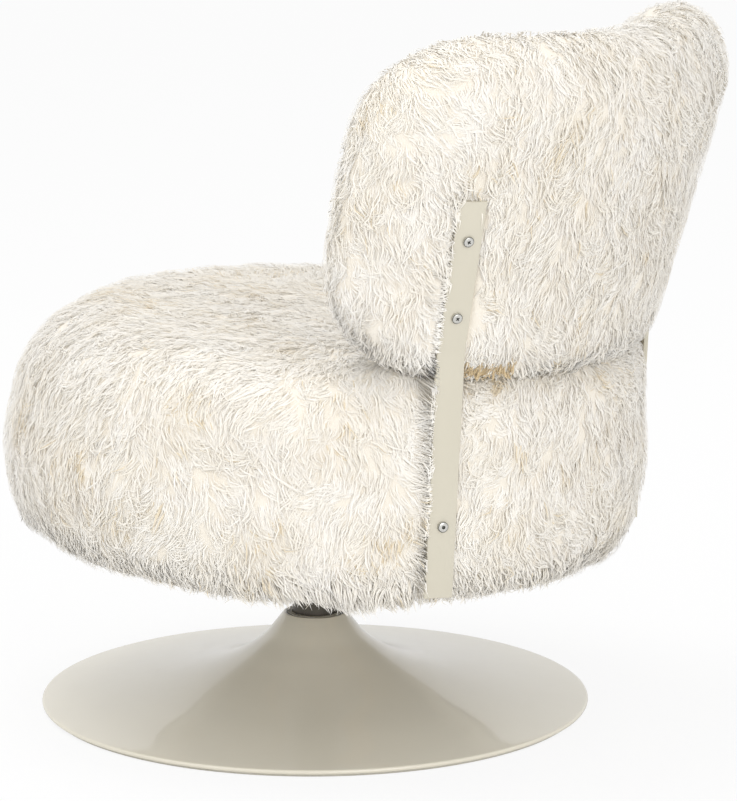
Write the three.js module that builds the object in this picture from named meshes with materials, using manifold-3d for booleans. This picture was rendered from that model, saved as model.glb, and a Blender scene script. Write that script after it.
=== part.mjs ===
// Swivel lounge chair with a round upholstered seat, a curved back and a trumpet foot
// Millimetres, +Z up, front of the seat towards -Y, swivel axis on Z, floor at zero

import * as THREE from 'three';
import { mergeVertices } from 'three/addons/utils/BufferGeometryUtils.js';
import Module from 'manifold-3d';

const wasm = await Module();
wasm.setup();

// Overall sizes of the foot
const discRadius = 300;
const neckRadius = 36;
const neckHeight = 98;
const discEdgeHeight = 8;
const spunWall = 2.5;

// Overall sizes of the seat
const plateHeight = 203;
const seatTilt = THREE.MathUtils.degToRad(3);
const seatSetback = 12;
const seatRadius = 346;
const seatBottom = -9;
const seatTop = 227;
const seatCrown = 8;
const frontShoulder = 100;
const rearShoulder = 36;
const seatFootRound = 57;

// Overall sizes of the back
const backSetback = -10.3;
const backInset = 6;
const backRadius = seatRadius - backInset;
const backRise = 166.5;
const backCentreHeight = seatTop + backRise;
const backHalfWidth = 342;
const backHalfHeight = 191;
const backHalfThickness = 53;
const backCorner = 126;
const backFlare = THREE.MathUtils.degToRad(13.1);
const backWidthGain = 20;
const backEarRise = 3;
const backFootLift = 42;

// Overall sizes of the straps
const strapWidth = 30;
const strapThickness = 5;
const strapProud = 0.5;
const strapAngle = THREE.MathUtils.degToRad(50.4);
const strapFacing = THREE.MathUtils.degToRad(51.5);
const strapFoot = 9;
const strapRise = 25.5;
const strapTop = backCentreHeight + strapRise;
const lowScrewHeight = 83.5;
const middleScrewDrop = 95;
const middleScrewHeight = backCentreHeight - middleScrewDrop;
const highScrewDrop = 15;
const highScrewHeight = backCentreHeight - highScrewDrop;

// Shared clearances
const seatingGap = 0.3;
const runningGap = 0.3;
const cutOverrun = 6;
const mergeDistance = 0.0001;

// Facet counts
const discFacets = 40;
const seatFacets = 32;
const tubeFacets = 24;
const smallFacets = 10;
const halfTurn = Math.PI;
const quarterTurn = Math.PI / 2;

// Powder coat, metals, plastics, wood and upholstery
const coat = { color: 0xd3cdbf, roughness: 0.28, metalness: 0.0 };
const steel = { color: 0x8d8f92, roughness: 0.4, metalness: 0.9 };
const nickel = { color: 0xc9c8c4, roughness: 0.22, metalness: 1.0 };
const nylon = { color: 0xd9d6cc, roughness: 0.5, metalness: 0.0 };
const plywood = { color: 0xb98f5c, roughness: 0.6, metalness: 0.0 };
const foam = { color: 0xe6dcae, roughness: 0.9, metalness: 0.0 };
const sheepskin = { color: 0xf1ece0, roughness: 0.95, metalness: 0.0 };
const felt = { color: 0x5c5a57, roughness: 0.95, metalness: 0.0 };
const cloth = { color: 0x1f1f20, roughness: 0.9, metalness: 0.0 };

// Closed solid from a geometry, with its collapsed pole triangles left out
function solidOf(geometry) {
  const bare = geometry.clone();
  bare.deleteAttribute('normal');
  bare.deleteAttribute('uv');
  const merged = mergeVertices(bare, mergeDistance);
  const kept = [];
  const index = merged.index.array;
  for (let i = 0; i < index.length; i += 3) {
    const [a, b, c] = [index[i], index[i + 1], index[i + 2]];
    if (a !== b && b !== c && c !== a) kept.push(a, b, c);
  }
  const mesh = new wasm.Mesh({
    numProp: 3,
    vertProperties: new Float32Array(merged.attributes.position.array),
    triVerts: new Uint32Array(kept),
  });
  return new wasm.Manifold(mesh);
}

// Geometry of a solid, with flat faces
function geometryOf(solid) {
  const mesh = solid.getMesh();
  const geometry = new THREE.BufferGeometry();
  geometry.setAttribute('position', new THREE.BufferAttribute(mesh.vertProperties, mesh.numProp));
  geometry.setIndex(new THREE.BufferAttribute(mesh.triVerts, 1));
  const faceted = geometry.toNonIndexed();
  faceted.computeVertexNormals();
  return faceted;
}

// A blank with every tool taken away from it
function cut(blank, ...tools) {
  return tools.flat().reduce((left, tool) => left.subtract(tool), solidOf(blank));
}

// Turned piece round Z from a section of radius and height
function turned(section, facets) {
  const points = section.map(([radius, height]) => new THREE.Vector2(radius, height));
  return new THREE.LatheGeometry(points, facets).rotateX(quarterTurn);
}

// Turned ring, its section closed on itself
function turnedRing(section, facets) {
  return turned([...section, section[0]], facets);
}

// Plain ring between two radii and two heights
function ring(inner, outer, low, high, facets) {
  return turnedRing([[inner, low], [outer, low], [outer, high], [inner, high]], facets);
}

// Plain disc between two heights
function disc(radius, low, high, facets) {
  return turned([[0, low], [radius, low], [radius, high], [0, high]], facets);
}

// Hexagon prism between two heights, from its width across flats
function hexPrism(acrossFlats, low, high) {
  const radius = acrossFlats / 2 / Math.cos(halfTurn / 6);
  return disc(radius, low, high, 6);
}

// Points of an arc about a centre, from one angle to another
function arc(centreRadius, centreHeight, size, from, to, steps) {
  const points = [];
  for (let i = 0; i <= steps; i += 1) {
    const angle = from + (to - from) * i / steps;
    points.push([centreRadius + size * Math.cos(angle), centreHeight + size * Math.sin(angle)]);
  }
  return points;
}

// A line of points moved sideways by a distance, to its right when it runs
function offsetLine(line, distance) {
  return line.map(([x, y], i) => {
    const before = line[Math.max(i - 1, 0)];
    const after = line[Math.min(i + 1, line.length - 1)];
    const run = new THREE.Vector2(after[0] - before[0], after[1] - before[1]).normalize();
    return [x + run.y * distance, y - run.x * distance];
  });
}

// Height of a line of points at a radius, where the radius falls along the line
function heightAt(line, radius) {
  for (let i = 1; i < line.length; i += 1) {
    const [outerRadius, outerHeight] = line[i - 1];
    const [innerRadius, innerHeight] = line[i];
    if (radius <= outerRadius && radius >= innerRadius) {
      const share = (outerRadius - radius) / (outerRadius - innerRadius);
      return outerHeight + (innerHeight - outerHeight) * share;
    }
  }
  return line[0][1];
}

const chair = new THREE.Group();
const foot = new THREE.Group();
const seat = new THREE.Group();
const column = new THREE.Group();
chair.add(foot, column, seat);
seat.position.z = plateHeight;
seat.rotation.x = -seatTilt;
seat.updateMatrix();

// Adds a named mesh to a group
function place(group, name, shape, finish) {
  const geometry = shape.isBufferGeometry ? shape : geometryOf(shape);
  const mesh = new THREE.Mesh(geometry, new THREE.MeshStandardMaterial(finish));
  mesh.name = name;
  group.add(mesh);
}

// Swivel column and what guides it
const columnRadius = 25;
const columnWall = 3;
const bushWall = 2.4;
const bushHeight = 20;
const bushLip = 2;
const sleeveWall = 2.5;
const bushInner = columnRadius + runningGap;
const bushOuter = bushInner + bushWall;
const sleeveInner = bushOuter + seatingGap;
const sleeveOuter = sleeveInner + sleeveWall;

// Felt, ballast and flange, one on the other
const padThickness = 2;
const padInset = 5;
const ballastRadius = 200;
const ballastThickness = 10;
const flangeRadius = 70;
const flangeThickness = 6;
const ballastLow = padThickness + seatingGap;
const ballastHigh = ballastLow + ballastThickness;
const flangeLow = ballastHigh + seatingGap;
const flangeHigh = flangeLow + flangeThickness;

// Retaining bolt under the column, with its washer
const retainRadius = 6;
const retainFlats = 18;
const retainHead = 6;
const retainWasherRadius = 15;
const retainWasherThickness = 2;
const washerHigh = flangeLow - seatingGap;
const washerLow = washerHigh - retainWasherThickness;
const retainHeadHigh = washerLow - seatingGap;

// Bolts that hold the flange to the ballast
const flangeBoltRadius = 4;
const flangeBoltFlats = 13;
const flangeBoltHead = 5.3;
const flangeBoltCircle = 50;
const flangeBoltCount = 4;
const flangeBoltPlaces = [];
for (let i = 0; i < flangeBoltCount; i += 1) {
  const angle = halfTurn / flangeBoltCount * (2 * i + 1);
  flangeBoltPlaces.push([flangeBoltCircle * Math.cos(angle), flangeBoltCircle * Math.sin(angle)]);
}
const flangeBoltHoles = flangeBoltPlaces.map(([x, y]) => solidOf(
  disc(flangeBoltRadius + seatingGap, ballastLow - cutOverrun, flangeHigh + cutOverrun, smallFacets)
    .translate(x, y, 0),
));

place(foot, 'base_pad', disc(ballastRadius - padInset, 0, padThickness, discFacets), felt);
const ballastBore = retainWasherRadius + runningGap;
place(foot, 'ballast_plate', cut(
  ring(ballastBore, ballastRadius, ballastLow, ballastHigh, discFacets),
  flangeBoltHoles,
), steel);
place(foot, 'column_flange', cut(
  ring(retainRadius + runningGap, flangeRadius, flangeLow, flangeHigh, tubeFacets),
  flangeBoltHoles,
), steel);
flangeBoltPlaces.forEach(([x, y], i) => {
  const headLow = flangeHigh + seatingGap;
  const shank = disc(flangeBoltRadius, ballastLow + seatingGap, headLow + flangeBoltHead / 2, smallFacets);
  const head = hexPrism(flangeBoltFlats, headLow, headLow + flangeBoltHead);
  const bolt = solidOf(shank).add(solidOf(head)).translate([x, y, 0]);
  place(foot, `flange_bolt_${i + 1}`, bolt, steel);
});

// Fixed sleeve that stands on the flange inside the trumpet
const sleeveLow = flangeHigh + seatingGap;
place(foot, 'column_sleeve', ring(sleeveInner, sleeveOuter, sleeveLow, neckHeight, tubeFacets), steel);

// Thrust disc at the foot of the sleeve, and the two bushes
const thrustThickness = 4;
const thrustHigh = sleeveLow + thrustThickness;
place(foot, 'thrust_disc', ring(
  retainRadius + runningGap, bushOuter, sleeveLow, thrustHigh, tubeFacets,
), nylon);
const lowerBushLow = thrustHigh + seatingGap;
place(foot, 'lower_bush', ring(
  bushInner, bushOuter, lowerBushLow, lowerBushLow + bushHeight, tubeFacets,
), nylon);
const lipLow = neckHeight + seatingGap;
place(foot, 'upper_bush', turnedRing([
  [bushInner, lipLow - bushHeight], [bushOuter, lipLow - bushHeight], [bushOuter, lipLow],
  [sleeveOuter, lipLow], [sleeveOuter, lipLow + bushLip], [bushInner, lipLow + bushLip],
], tubeFacets), nylon);

// Trumpet foot, spun in one piece, with a rounded rim and a turned-in mouth
const trumpetShares = [
  [0.985, 0.002], [0.82, 0.055], [0.64, 0.131], [0.46, 0.225], [0.32, 0.335],
  [0.216, 0.456], [0.138, 0.59], [0.078, 0.724], [0.035, 0.87], [0, 1],
];
const rimRound = 2.6;
const mouthRise = 2;
const mouthRadius = sleeveOuter + seatingGap;
const trumpetTop = trumpetShares.map(([radiusShare, heightShare]) => [
  neckRadius + (discRadius - neckRadius) * radiusShare,
  discEdgeHeight + (neckHeight - discEdgeHeight) * heightShare,
]);
const trumpetUnder = offsetLine(trumpetTop, -spunWall);
const rimCentreHeight = discEdgeHeight - rimRound;
const mouthTop = neckHeight + mouthRise;
const rimLine = arc(discRadius - rimRound, rimCentreHeight, rimRound, -quarterTurn, quarterTurn, 2);
place(foot, 'base_shell', turnedRing([
  ...trumpetUnder.toReversed(),
  ...rimLine,
  ...trumpetTop,
  [(neckRadius + mouthRadius) / 2 + spunWall / 2, mouthTop - mouthRise / 4],
  [(neckRadius + mouthRadius) / 2, mouthTop],
  [mouthRadius, mouthTop],
  [mouthRadius, neckHeight - spunWall / 2],
], discFacets), coat);

// Glide ring under the rim, its top following the underside of the disc
const glideInset = 5;
const glideWidth = 11;
const glideOuter = discRadius - glideInset;
const glideInner = glideOuter - glideWidth;
const glideTop = (radius) => heightAt(trumpetUnder, radius) - seatingGap;
place(foot, 'floor_ring', turnedRing([
  [glideInner, 0], [glideOuter, 0], [glideOuter, glideTop(glideOuter)],
  [glideInner, glideTop(glideInner)],
], discFacets), nylon);

// Turning column, its top cut to the slope of the seat plate
const columnLow = thrustHigh + seatingGap;
const plateSlope = solidOf(
  disc(columnRadius * 2, -seatingGap, columnRadius, tubeFacets).applyMatrix4(seat.matrix),
);
place(column, 'swivel_column', cut(
  ring(columnRadius - columnWall, columnRadius, columnLow, plateHeight + columnRadius / 2, tubeFacets),
  plateSlope,
), coat);

// Plug welded into the foot of the column, and the bolt that holds it down
const plugThickness = 12;
const plugHigh = columnLow + plugThickness;
place(column, 'column_plug', ring(
  retainRadius + seatingGap, columnRadius - columnWall - seatingGap, columnLow, plugHigh, tubeFacets,
), steel);
place(column, 'retaining_washer', ring(
  retainRadius + seatingGap, retainWasherRadius, washerLow, washerHigh, tubeFacets,
), steel);
const retainShank = disc(retainRadius, retainHeadHigh - retainHead / 2, plugHigh, smallFacets);
const retainHex = hexPrism(retainFlats, retainHeadHigh - retainHead, retainHeadHigh);
place(column, 'retaining_bolt', solidOf(retainShank).add(solidOf(retainHex)), steel);

// Square plate on the column, with its bolts into the seat board
const plateSize = 160;
const plateThickness = 6;
const plateCorner = 14;
const plateBoltSpread = 120;
const plateBoltRadius = 4;
const plateBoltFlats = 13;
const plateBoltHead = 5.3;
const boardThickness = 18;
const boardLow = plateThickness + seatingGap;
const boardHigh = boardLow + boardThickness;
const plateBoltPlaces = [[-1, -1], [1, -1], [1, 1], [-1, 1]].map(
  ([x, y]) => [x * plateBoltSpread / 2, y * plateBoltSpread / 2],
);

// Rectangle with round corners about the origin
function roundedSquare(size, corner) {
  const half = size / 2;
  const outline = new THREE.Shape();
  outline.moveTo(half, corner - half);
  outline.absarc(half - corner, half - corner, corner, 0, quarterTurn, false);
  outline.absarc(corner - half, half - corner, corner, quarterTurn, halfTurn, false);
  outline.absarc(corner - half, corner - half, corner, halfTurn, halfTurn + quarterTurn, false);
  outline.absarc(half - corner, corner - half, corner, halfTurn + quarterTurn, 2 * halfTurn, false);
  return outline;
}

// Flat piece of an outline with round holes, between two heights
function flatPiece(outline, holes, low, high, curveSegments) {
  holes.forEach(([x, y, radius]) => {
    outline.holes.push(new THREE.Path().absarc(x, y, radius, 0, 2 * halfTurn, true));
  });
  const options = { depth: high - low, bevelEnabled: false, curveSegments };
  return new THREE.ExtrudeGeometry(outline, options).translate(0, 0, low);
}

const plateHoles = plateBoltPlaces.map(([x, y]) => [x, y, plateBoltRadius + seatingGap]);
place(seat, 'mount_plate', solidOf(flatPiece(
  roundedSquare(plateSize, plateCorner), plateHoles, 0, plateThickness, smallFacets / 2,
)), steel);
plateBoltPlaces.forEach(([x, y], i) => {
  const shank = disc(plateBoltRadius, -plateBoltHead / 2, boardHigh - seatingGap, smallFacets);
  const head = hexPrism(plateBoltFlats, -seatingGap - plateBoltHead, -seatingGap);
  const bolt = solidOf(shank).add(solidOf(head)).translate([x, y, 0]);
  place(seat, `mount_bolt_${i + 1}`, bolt, steel);
});

// Plywood board and hoop of the seat
const hoopThickness = 15;
const hoopHeight = 100;
const hoopInset = 43;
const hoopOuter = seatRadius - hoopInset;
const hoopInner = hoopOuter - hoopThickness;
const hoopLow = boardHigh + seatingGap;
const hoopHigh = hoopLow + hoopHeight;
const boardBolts = plateBoltPlaces.map(([x, y]) => solidOf(
  disc(plateBoltRadius + seatingGap, boardLow - cutOverrun, boardHigh + cutOverrun, smallFacets)
    .translate(x, y, 0),
));
place(seat, 'seat_board', cut(
  disc(hoopOuter, boardLow, boardHigh, seatFacets).translate(0, seatSetback, 0),
  boardBolts,
), plywood);

// Turned form whose section may change round the axis, its pole or poles on the axis
function turnedForm(sectionAt, facets) {
  const first = sectionAt(0);
  const count = first.length;
  const positions = [];
  const index = [];
  for (let i = 0; i < facets; i += 1) {
    const angle = 2 * halfTurn * i / facets;
    sectionAt(angle).forEach(([radius, height]) => {
      positions.push(radius * Math.cos(angle), radius * Math.sin(angle), height);
    });
  }
  for (let i = 0; i < facets; i += 1) {
    const here = i * count;
    const next = (i + 1) % facets * count;
    for (let j = 0; j + 1 < count; j += 1) {
      index.push(here + j, next + j, here + j + 1, next + j, next + j + 1, here + j + 1);
    }
  }
  const geometry = new THREE.BufferGeometry();
  geometry.setAttribute('position', new THREE.Float32BufferAttribute(positions, 3));
  geometry.setIndex(index);
  return geometry;
}

// Shoulder radius of the seat round its edge, wide in front and tight at the rear
function shoulderAt(angle) {
  const rear = (1 + Math.sin(angle)) / 2;
  const share = rear * rear * (3 - 2 * rear);
  return frontShoulder + (rearShoulder - frontShoulder) * share;
}

// Line over the seat from its foot edge to the middle of its crown, inset by a wall
const crownShares = [0.72, 0.4, 0];
const seatSwell = 2;
const footSteps = 3;
const shoulderSteps = 4;
function seatLine(angle, wall, foot, footRound) {
  const radius = seatRadius - wall;
  const shoulder = Math.max(shoulderAt(angle) - wall, rearShoulder / 3);
  const top = seatTop - wall;
  const middle = (foot + footRound + top - shoulder) / 2;
  const flat = radius - shoulder;
  return [
    ...arc(radius - footRound, foot + footRound, footRound, -quarterTurn, 0, footSteps),
    [radius + seatSwell, middle],
    ...arc(flat, top - shoulder, shoulder, 0, quarterTurn, shoulderSteps),
    ...crownShares.map((share) => [flat * share, top + seatCrown * (1 - share * share)]),
  ];
}

// The seat's outer form, grown by a distance, for what is cut to sit on it
function seatForm(growth) {
  const low = seatBottom - growth;
  const section = (angle) => [[0, low], ...seatLine(angle, -growth, low, seatFootRound + growth)];
  return turnedForm(section, seatFacets).translate(0, seatSetback, 0);
}

// Point of the back at a place along it, up it and through it
function backPoint(along, up, through) {
  const middleRadius = backRadius + up * Math.sin(backFlare);
  const angle = along / middleRadius;
  const reach = middleRadius + through * Math.cos(backFlare);
  return new THREE.Vector3(
    reach * Math.sin(angle),
    backSetback + reach * Math.cos(angle),
    backCentreHeight + up * Math.cos(backFlare) - through * Math.sin(backFlare),
  );
}

// The back's pad, inset by a wall, lofted from one wing to the other
const backStations = 20;
const edgeSteps = 4;
const faceSteps = 3;
const liftPower = 1.3;
function backForm(wall) {
  const halfWidth = backHalfWidth - wall;
  const halfHeight = backHalfHeight - wall;
  const halfThickness = backHalfThickness - wall;
  const corner = backCorner - wall;
  const loopAt = (along) => {
    const past = Math.max(Math.abs(along) - (halfWidth - corner), 0);
    const height = halfHeight - corner + Math.sqrt(corner * corner - past * past);
    const beyond = Math.max(Math.abs(along) - (halfWidth - halfThickness), 0);
    const round = Math.sqrt(halfThickness * halfThickness - beyond * beyond);
    const straight = height - round;
    const loop = [];
    for (let i = 0; i < edgeSteps; i += 1) {
      const angle = halfTurn * i / edgeSteps;
      loop.push([straight + round * Math.sin(angle), -round * Math.cos(angle)]);
    }
    for (let i = 0; i < faceSteps; i += 1) loop.push([straight * (1 - 2 * i / faceSteps), round]);
    for (let i = 0; i < edgeSteps; i += 1) {
      const angle = halfTurn * i / edgeSteps;
      loop.push([-straight - round * Math.sin(angle), round * Math.cos(angle)]);
    }
    for (let i = 0; i < faceSteps; i += 1) loop.push([straight * (2 * i / faceSteps - 1), -round]);
    const share = Math.abs(along) / halfWidth;
    const rise = backEarRise * share * share;
    const lift = backFootLift * share ** liftPower;
    return loop.map(([up, through]) => {
      const high = up / halfHeight;
      const raised = up + rise * Math.max(high, 0) + lift * Math.max(-high, 0);
      return backPoint(along + backWidthGain * along / backHalfWidth * high, raised, through);
    });
  };
  const points = [];
  const index = [];
  const loopCount = 2 * (edgeSteps + faceSteps);
  for (let i = 1; i < backStations; i += 1) {
    points.push(...loopAt(halfWidth * Math.sin(quarterTurn * (2 * i / backStations - 1))));
  }
  const startPole = points.length;
  points.push(backPoint(-halfWidth, 0, 0), backPoint(halfWidth, 0, 0));
  const lastLoop = (backStations - 2) * loopCount;
  for (let j = 0; j < loopCount; j += 1) {
    const k = (j + 1) % loopCount;
    for (let i = 0; i + 2 < backStations; i += 1) {
      const here = i * loopCount;
      const next = here + loopCount;
      index.push(here + j, next + j, here + k, next + j, next + k, here + k);
    }
    index.push(startPole, j, k);
    index.push(startPole + 1, lastLoop + k, lastLoop + j);
  }
  const geometry = new THREE.BufferGeometry().setFromPoints(points);
  geometry.setIndex(index);
  return geometry;
}

// Curved layer of the back between two depths, wider and taller than the back
const layerStations = 12;
const layerSteps = 2;
function backLayer(front, rear) {
  const points = [];
  const index = [];
  const reach = backHalfWidth + backCorner;
  const rise = backHalfHeight + backCorner;
  const across = layerSteps + 1;
  for (let i = 0; i <= layerStations; i += 1) {
    for (let j = 0; j <= layerSteps; j += 1) {
      const along = reach * (2 * i / layerStations - 1);
      const up = rise * (2 * j / layerSteps - 1);
      points.push(backPoint(along, up, front), backPoint(along, up, rear));
    }
  }
  const at = (i, j, side) => 2 * (i * across + j) + side;
  const quad = (a, b, c, d) => index.push(a, b, c, a, c, d);
  for (let i = 0; i < layerStations; i += 1) {
    for (let j = 0; j < layerSteps; j += 1) {
      quad(at(i, j, 0), at(i + 1, j, 0), at(i + 1, j + 1, 0), at(i, j + 1, 0));
      quad(at(i, j, 1), at(i, j + 1, 1), at(i + 1, j + 1, 1), at(i + 1, j, 1));
    }
    quad(at(i, 0, 0), at(i, 0, 1), at(i + 1, 0, 1), at(i + 1, 0, 0));
    quad(at(i, layerSteps, 0), at(i + 1, layerSteps, 0), at(i + 1, layerSteps, 1), at(i, layerSteps, 1));
  }
  for (let j = 0; j < layerSteps; j += 1) {
    quad(at(0, j, 0), at(0, j + 1, 0), at(0, j + 1, 1), at(0, j, 1));
    const last = layerStations;
    quad(at(last, j, 0), at(last, j, 1), at(last, j + 1, 1), at(last, j + 1, 0));
  }
  const geometry = new THREE.BufferGeometry().setFromPoints(points);
  geometry.setIndex(index);
  return geometry;
}

// Where the strap stands on the seat's side, and how far out it leans from there
const strapReach = seatRadius + strapProud;
const strapX = strapReach * Math.cos(strapAngle);
const strapY = seatSetback + strapReach * Math.sin(strapAngle);
const strapFromBack = Math.hypot(strapX, strapY - backSetback);
const backFaceRadius = backRadius + (backHalfThickness + strapProud) / Math.cos(backFlare);
const bendHeight = backCentreHeight + (strapFromBack - backFaceRadius) / Math.tan(backFlare);
const bendRadius = 60;
const bendSteps = 4;

// Placement of a strap's own frame, X outwards and Z up
function strapFrame(side) {
  const facing = side > 0 ? strapFacing : halfTurn - strapFacing;
  return new THREE.Matrix4().makeRotationZ(facing).setPosition(side * strapX, strapY, 0);
}

// Outer face of a strap at a height, past the bend
function strapFaceAt(height) {
  return (height - bendHeight) * Math.tan(backFlare);
}

// Side outline of a strap, grown by a distance all round
function strapBlank(growth) {
  const bendStart = bendHeight - bendRadius * Math.tan(backFlare / 2);
  const outer = [[0, strapFoot - growth]];
  const normals = [0];
  for (let i = 0; i <= bendSteps; i += 1) {
    const lean = backFlare * i / bendSteps;
    outer.push([bendRadius * (1 - Math.cos(lean)), bendStart + bendRadius * Math.sin(lean)]);
    normals.push(lean);
  }
  const end = strapTop + growth;
  outer.push([strapFaceAt(end), end]);
  normals.push(backFlare);
  const shifted = (distance) => outer.map(([out, up], i) => new THREE.Vector2(
    out + distance * Math.cos(normals[i]), up - distance * Math.sin(normals[i]),
  ));
  const outline = new THREE.Shape([
    ...shifted(growth), ...shifted(-strapThickness - growth).toReversed(),
  ]);
  const width = strapWidth + 2 * growth;
  return new THREE.ExtrudeGeometry(outline, { depth: width, bevelEnabled: false })
    .translate(0, 0, -width / 2).rotateX(quarterTurn);
}

// Screws that hold the straps, and the tee nuts in the plywood
const screwRadius = 3;
const screwHeadRadius = 5.5;
const screwHeadHeight = 3;
const screwHeadEdge = 1.2;
const screwPastNut = 2;
const recessLength = 5.6;
const recessWidth = 1.3;
const recessDepth = 1.8;
const socketFlats = 4;
const nutFlangeRadius = 9;
const nutFlange = 1.2;
const nutBarrelRadius = 4.2;
const nutBarrel = 9;
const nutSink = 0.5;
const shellFront = 8;
const shellThickness = 12;
const lowDepth = strapReach - hoopInner - nutSink;
const highDepth = backHalfThickness + strapProud - shellFront - nutSink;
const fastenings = [
  { height: lowScrewHeight, out: 0, lean: 0, depth: lowDepth, socket: true },
  {
    height: middleScrewHeight, out: strapFaceAt(middleScrewHeight), lean: backFlare,
    depth: highDepth, socket: false,
  },
  {
    height: highScrewHeight, out: strapFaceAt(highScrewHeight), lean: backFlare,
    depth: highDepth, socket: false,
  },
];

// Screw along Z with its head outwards, from the strap's outer face
function screw(depth, socket) {
  const end = -depth - nutFlange - screwPastNut;
  const headTop = seatingGap + screwHeadHeight;
  const blank = turned([
    [0, end], [screwRadius, end], [screwRadius, seatingGap], [screwHeadRadius, seatingGap],
    [screwHeadRadius, seatingGap + screwHeadEdge],
    [screwHeadRadius * Math.cos(quarterTurn / 2), headTop - screwHeadEdge / 4], [0, headTop],
  ], smallFacets);
  const socketTop = headTop + cutOverrun;
  if (socket) return cut(blank, solidOf(hexPrism(socketFlats, headTop - recessDepth, socketTop)));
  const slot = new THREE.BoxGeometry(recessLength, recessWidth, 2 * recessDepth);
  const across = slot.clone().rotateZ(quarterTurn);
  return cut(blank, [slot, across].map((tool) => solidOf(tool.translate(0, 0, headTop))));
}

// Tee nut on the screw, grown by a distance, with or without its bore
function teeNut(depth, growth, bored) {
  const inner = bored ? screwRadius + seatingGap : 0;
  const section = [
    [inner, -depth - nutFlange - growth], [nutFlangeRadius + growth, -depth - nutFlange - growth],
    [nutFlangeRadius + growth, growth - depth], [nutBarrelRadius + growth, growth - depth],
    [nutBarrelRadius + growth, nutBarrel + growth - depth], [inner, nutBarrel + growth - depth],
  ];
  return bored ? turnedRing(section, smallFacets) : turned(section, smallFacets);
}

// Everything that passes through the upholstery, made once for both sides
const strapRooms = [];
const screwRooms = [];
const nutRooms = [];
[1, -1].forEach((side) => {
  const frame = strapFrame(side);
  const sideName = side > 0 ? 'left' : 'right';
  const holes = [];
  fastenings.forEach(({ height, out, lean, depth, socket }, i) => {
    const matrix = frame.clone()
      .multiply(new THREE.Matrix4().makeTranslation(out, 0, height))
      .multiply(new THREE.Matrix4().makeRotationY(quarterTurn + lean));
    const end = -depth - nutFlange - screwPastNut - seatingGap;
    const passage = disc(screwRadius + seatingGap, end, cutOverrun, smallFacets).applyMatrix4(matrix);
    holes.push(solidOf(passage));
    nutRooms.push(solidOf(teeNut(depth, seatingGap, false).applyMatrix4(matrix)));
    const screwShape = geometryOf(screw(depth, socket)).applyMatrix4(matrix);
    place(seat, `strap_screw_${sideName}_${i + 1}`, screwShape, nickel);
    const nutShape = solidOf(teeNut(depth, 0, true).applyMatrix4(matrix));
    place(seat, `tee_nut_${sideName}_${i + 1}`, nutShape, steel);
  });
  screwRooms.push(...holes);
  place(seat, `strap_${sideName}`, cut(strapBlank(0).applyMatrix4(frame), holes), coat);
  strapRooms.push(solidOf(strapBlank(seatingGap).applyMatrix4(frame)));
});

place(seat, 'seat_hoop', cut(
  ring(hoopInner, hoopOuter, hoopLow, hoopHigh, seatFacets).translate(0, seatSetback, 0),
  screwRooms, nutRooms,
), plywood);

// Seat cover, hide and pile, turned in under the board
const pileWall = 20;
const turnedInWall = 12;
const turnedInWidth = 48;
const turnedInRadius = hoopOuter - turnedInWidth;
const coverFloor = seatBottom + turnedInWall;
const boardMargin = 1;
const innerFootRound = seatRadius - pileWall - hoopOuter - boardMargin;
const seatCoverSection = (angle) => [
  ...seatLine(angle, pileWall, coverFloor, innerFootRound).toReversed(),
  [turnedInRadius, coverFloor], [turnedInRadius, seatBottom],
  ...seatLine(angle, 0, seatBottom, seatFootRound),
];
place(seat, 'seat_cover', cut(
  turnedForm(seatCoverSection, seatFacets).translate(0, seatSetback, 0),
  strapRooms, screwRooms,
), sheepskin);

// Foam of the seat, over the hoop and the board
const foamRise = hoopHigh + seatingGap;
const foamSection = (angle) => [
  [0, hoopLow], [hoopInner - seatingGap, hoopLow], [hoopInner - seatingGap, foamRise],
  [hoopOuter + seatingGap, foamRise], [hoopOuter + seatingGap, boardLow],
  ...seatLine(angle, pileWall + seatingGap, boardLow, innerFootRound - seatingGap),
];
place(seat, 'seat_foam', cut(
  turnedForm(foamSection, seatFacets).translate(0, seatSetback, 0),
  screwRooms, nutRooms,
), foam);

// Dust cover under the board, round the plate
const dustThickness = 1.5;
const dustInner = plateSize / 2 * Math.SQRT2;
const dustHigh = boardLow - seatingGap;
place(seat, 'dust_cover', cut(
  disc(turnedInRadius - seatingGap, dustHigh - dustThickness, dustHigh, seatFacets)
    .translate(0, seatSetback, 0),
  solidOf(disc(dustInner, dustHigh - cutOverrun, dustHigh + cutOverrun, seatFacets)),
), cloth);

// Back: cover, foam in front and behind, and the bent plywood shell between them
const underWall = 14;
const shellRear = shellFront + shellThickness;
const coverRoom = solidOf(backForm(pileWall)).subtract(solidOf(seatForm(seatingGap + underWall)));
const seamLength = 240;
const seamWidth = 3;
const seamDepth = backHalfHeight;
const seam = solidOf(
  new THREE.BoxGeometry(seamLength, seamWidth, seamDepth)
    .translate(0, backSetback + backRadius - backHalfHeight * Math.sin(backFlare), 0)
    .translate(0, 0, backCentreHeight - backHalfHeight),
);
place(seat, 'back_cover', cut(
  backForm(0), solidOf(seatForm(seatingGap)), coverRoom, seam, strapRooms, screwRooms,
), sheepskin);
const inner = solidOf(backForm(pileWall + seatingGap))
  .subtract(solidOf(seatForm(seatingGap + underWall + seatingGap)));
const layerReach = backHalfThickness + backCorner;
const shellLayer = solidOf(backLayer(shellFront, shellRear));
const frontLayer = solidOf(backLayer(-layerReach, shellFront - seatingGap));
const rearLayer = solidOf(backLayer(shellRear + seatingGap, layerReach));
const bored = (solid) => [...screwRooms, ...nutRooms].reduce((left, tool) => left.subtract(tool), solid);
place(seat, 'back_shell', bored(inner.intersect(shellLayer)), plywood);
place(seat, 'back_foam_front', bored(inner.intersect(frontLayer)), foam);
place(seat, 'back_foam_rear', bored(inner.intersect(rearLayer)), foam);

export default chair;
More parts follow.
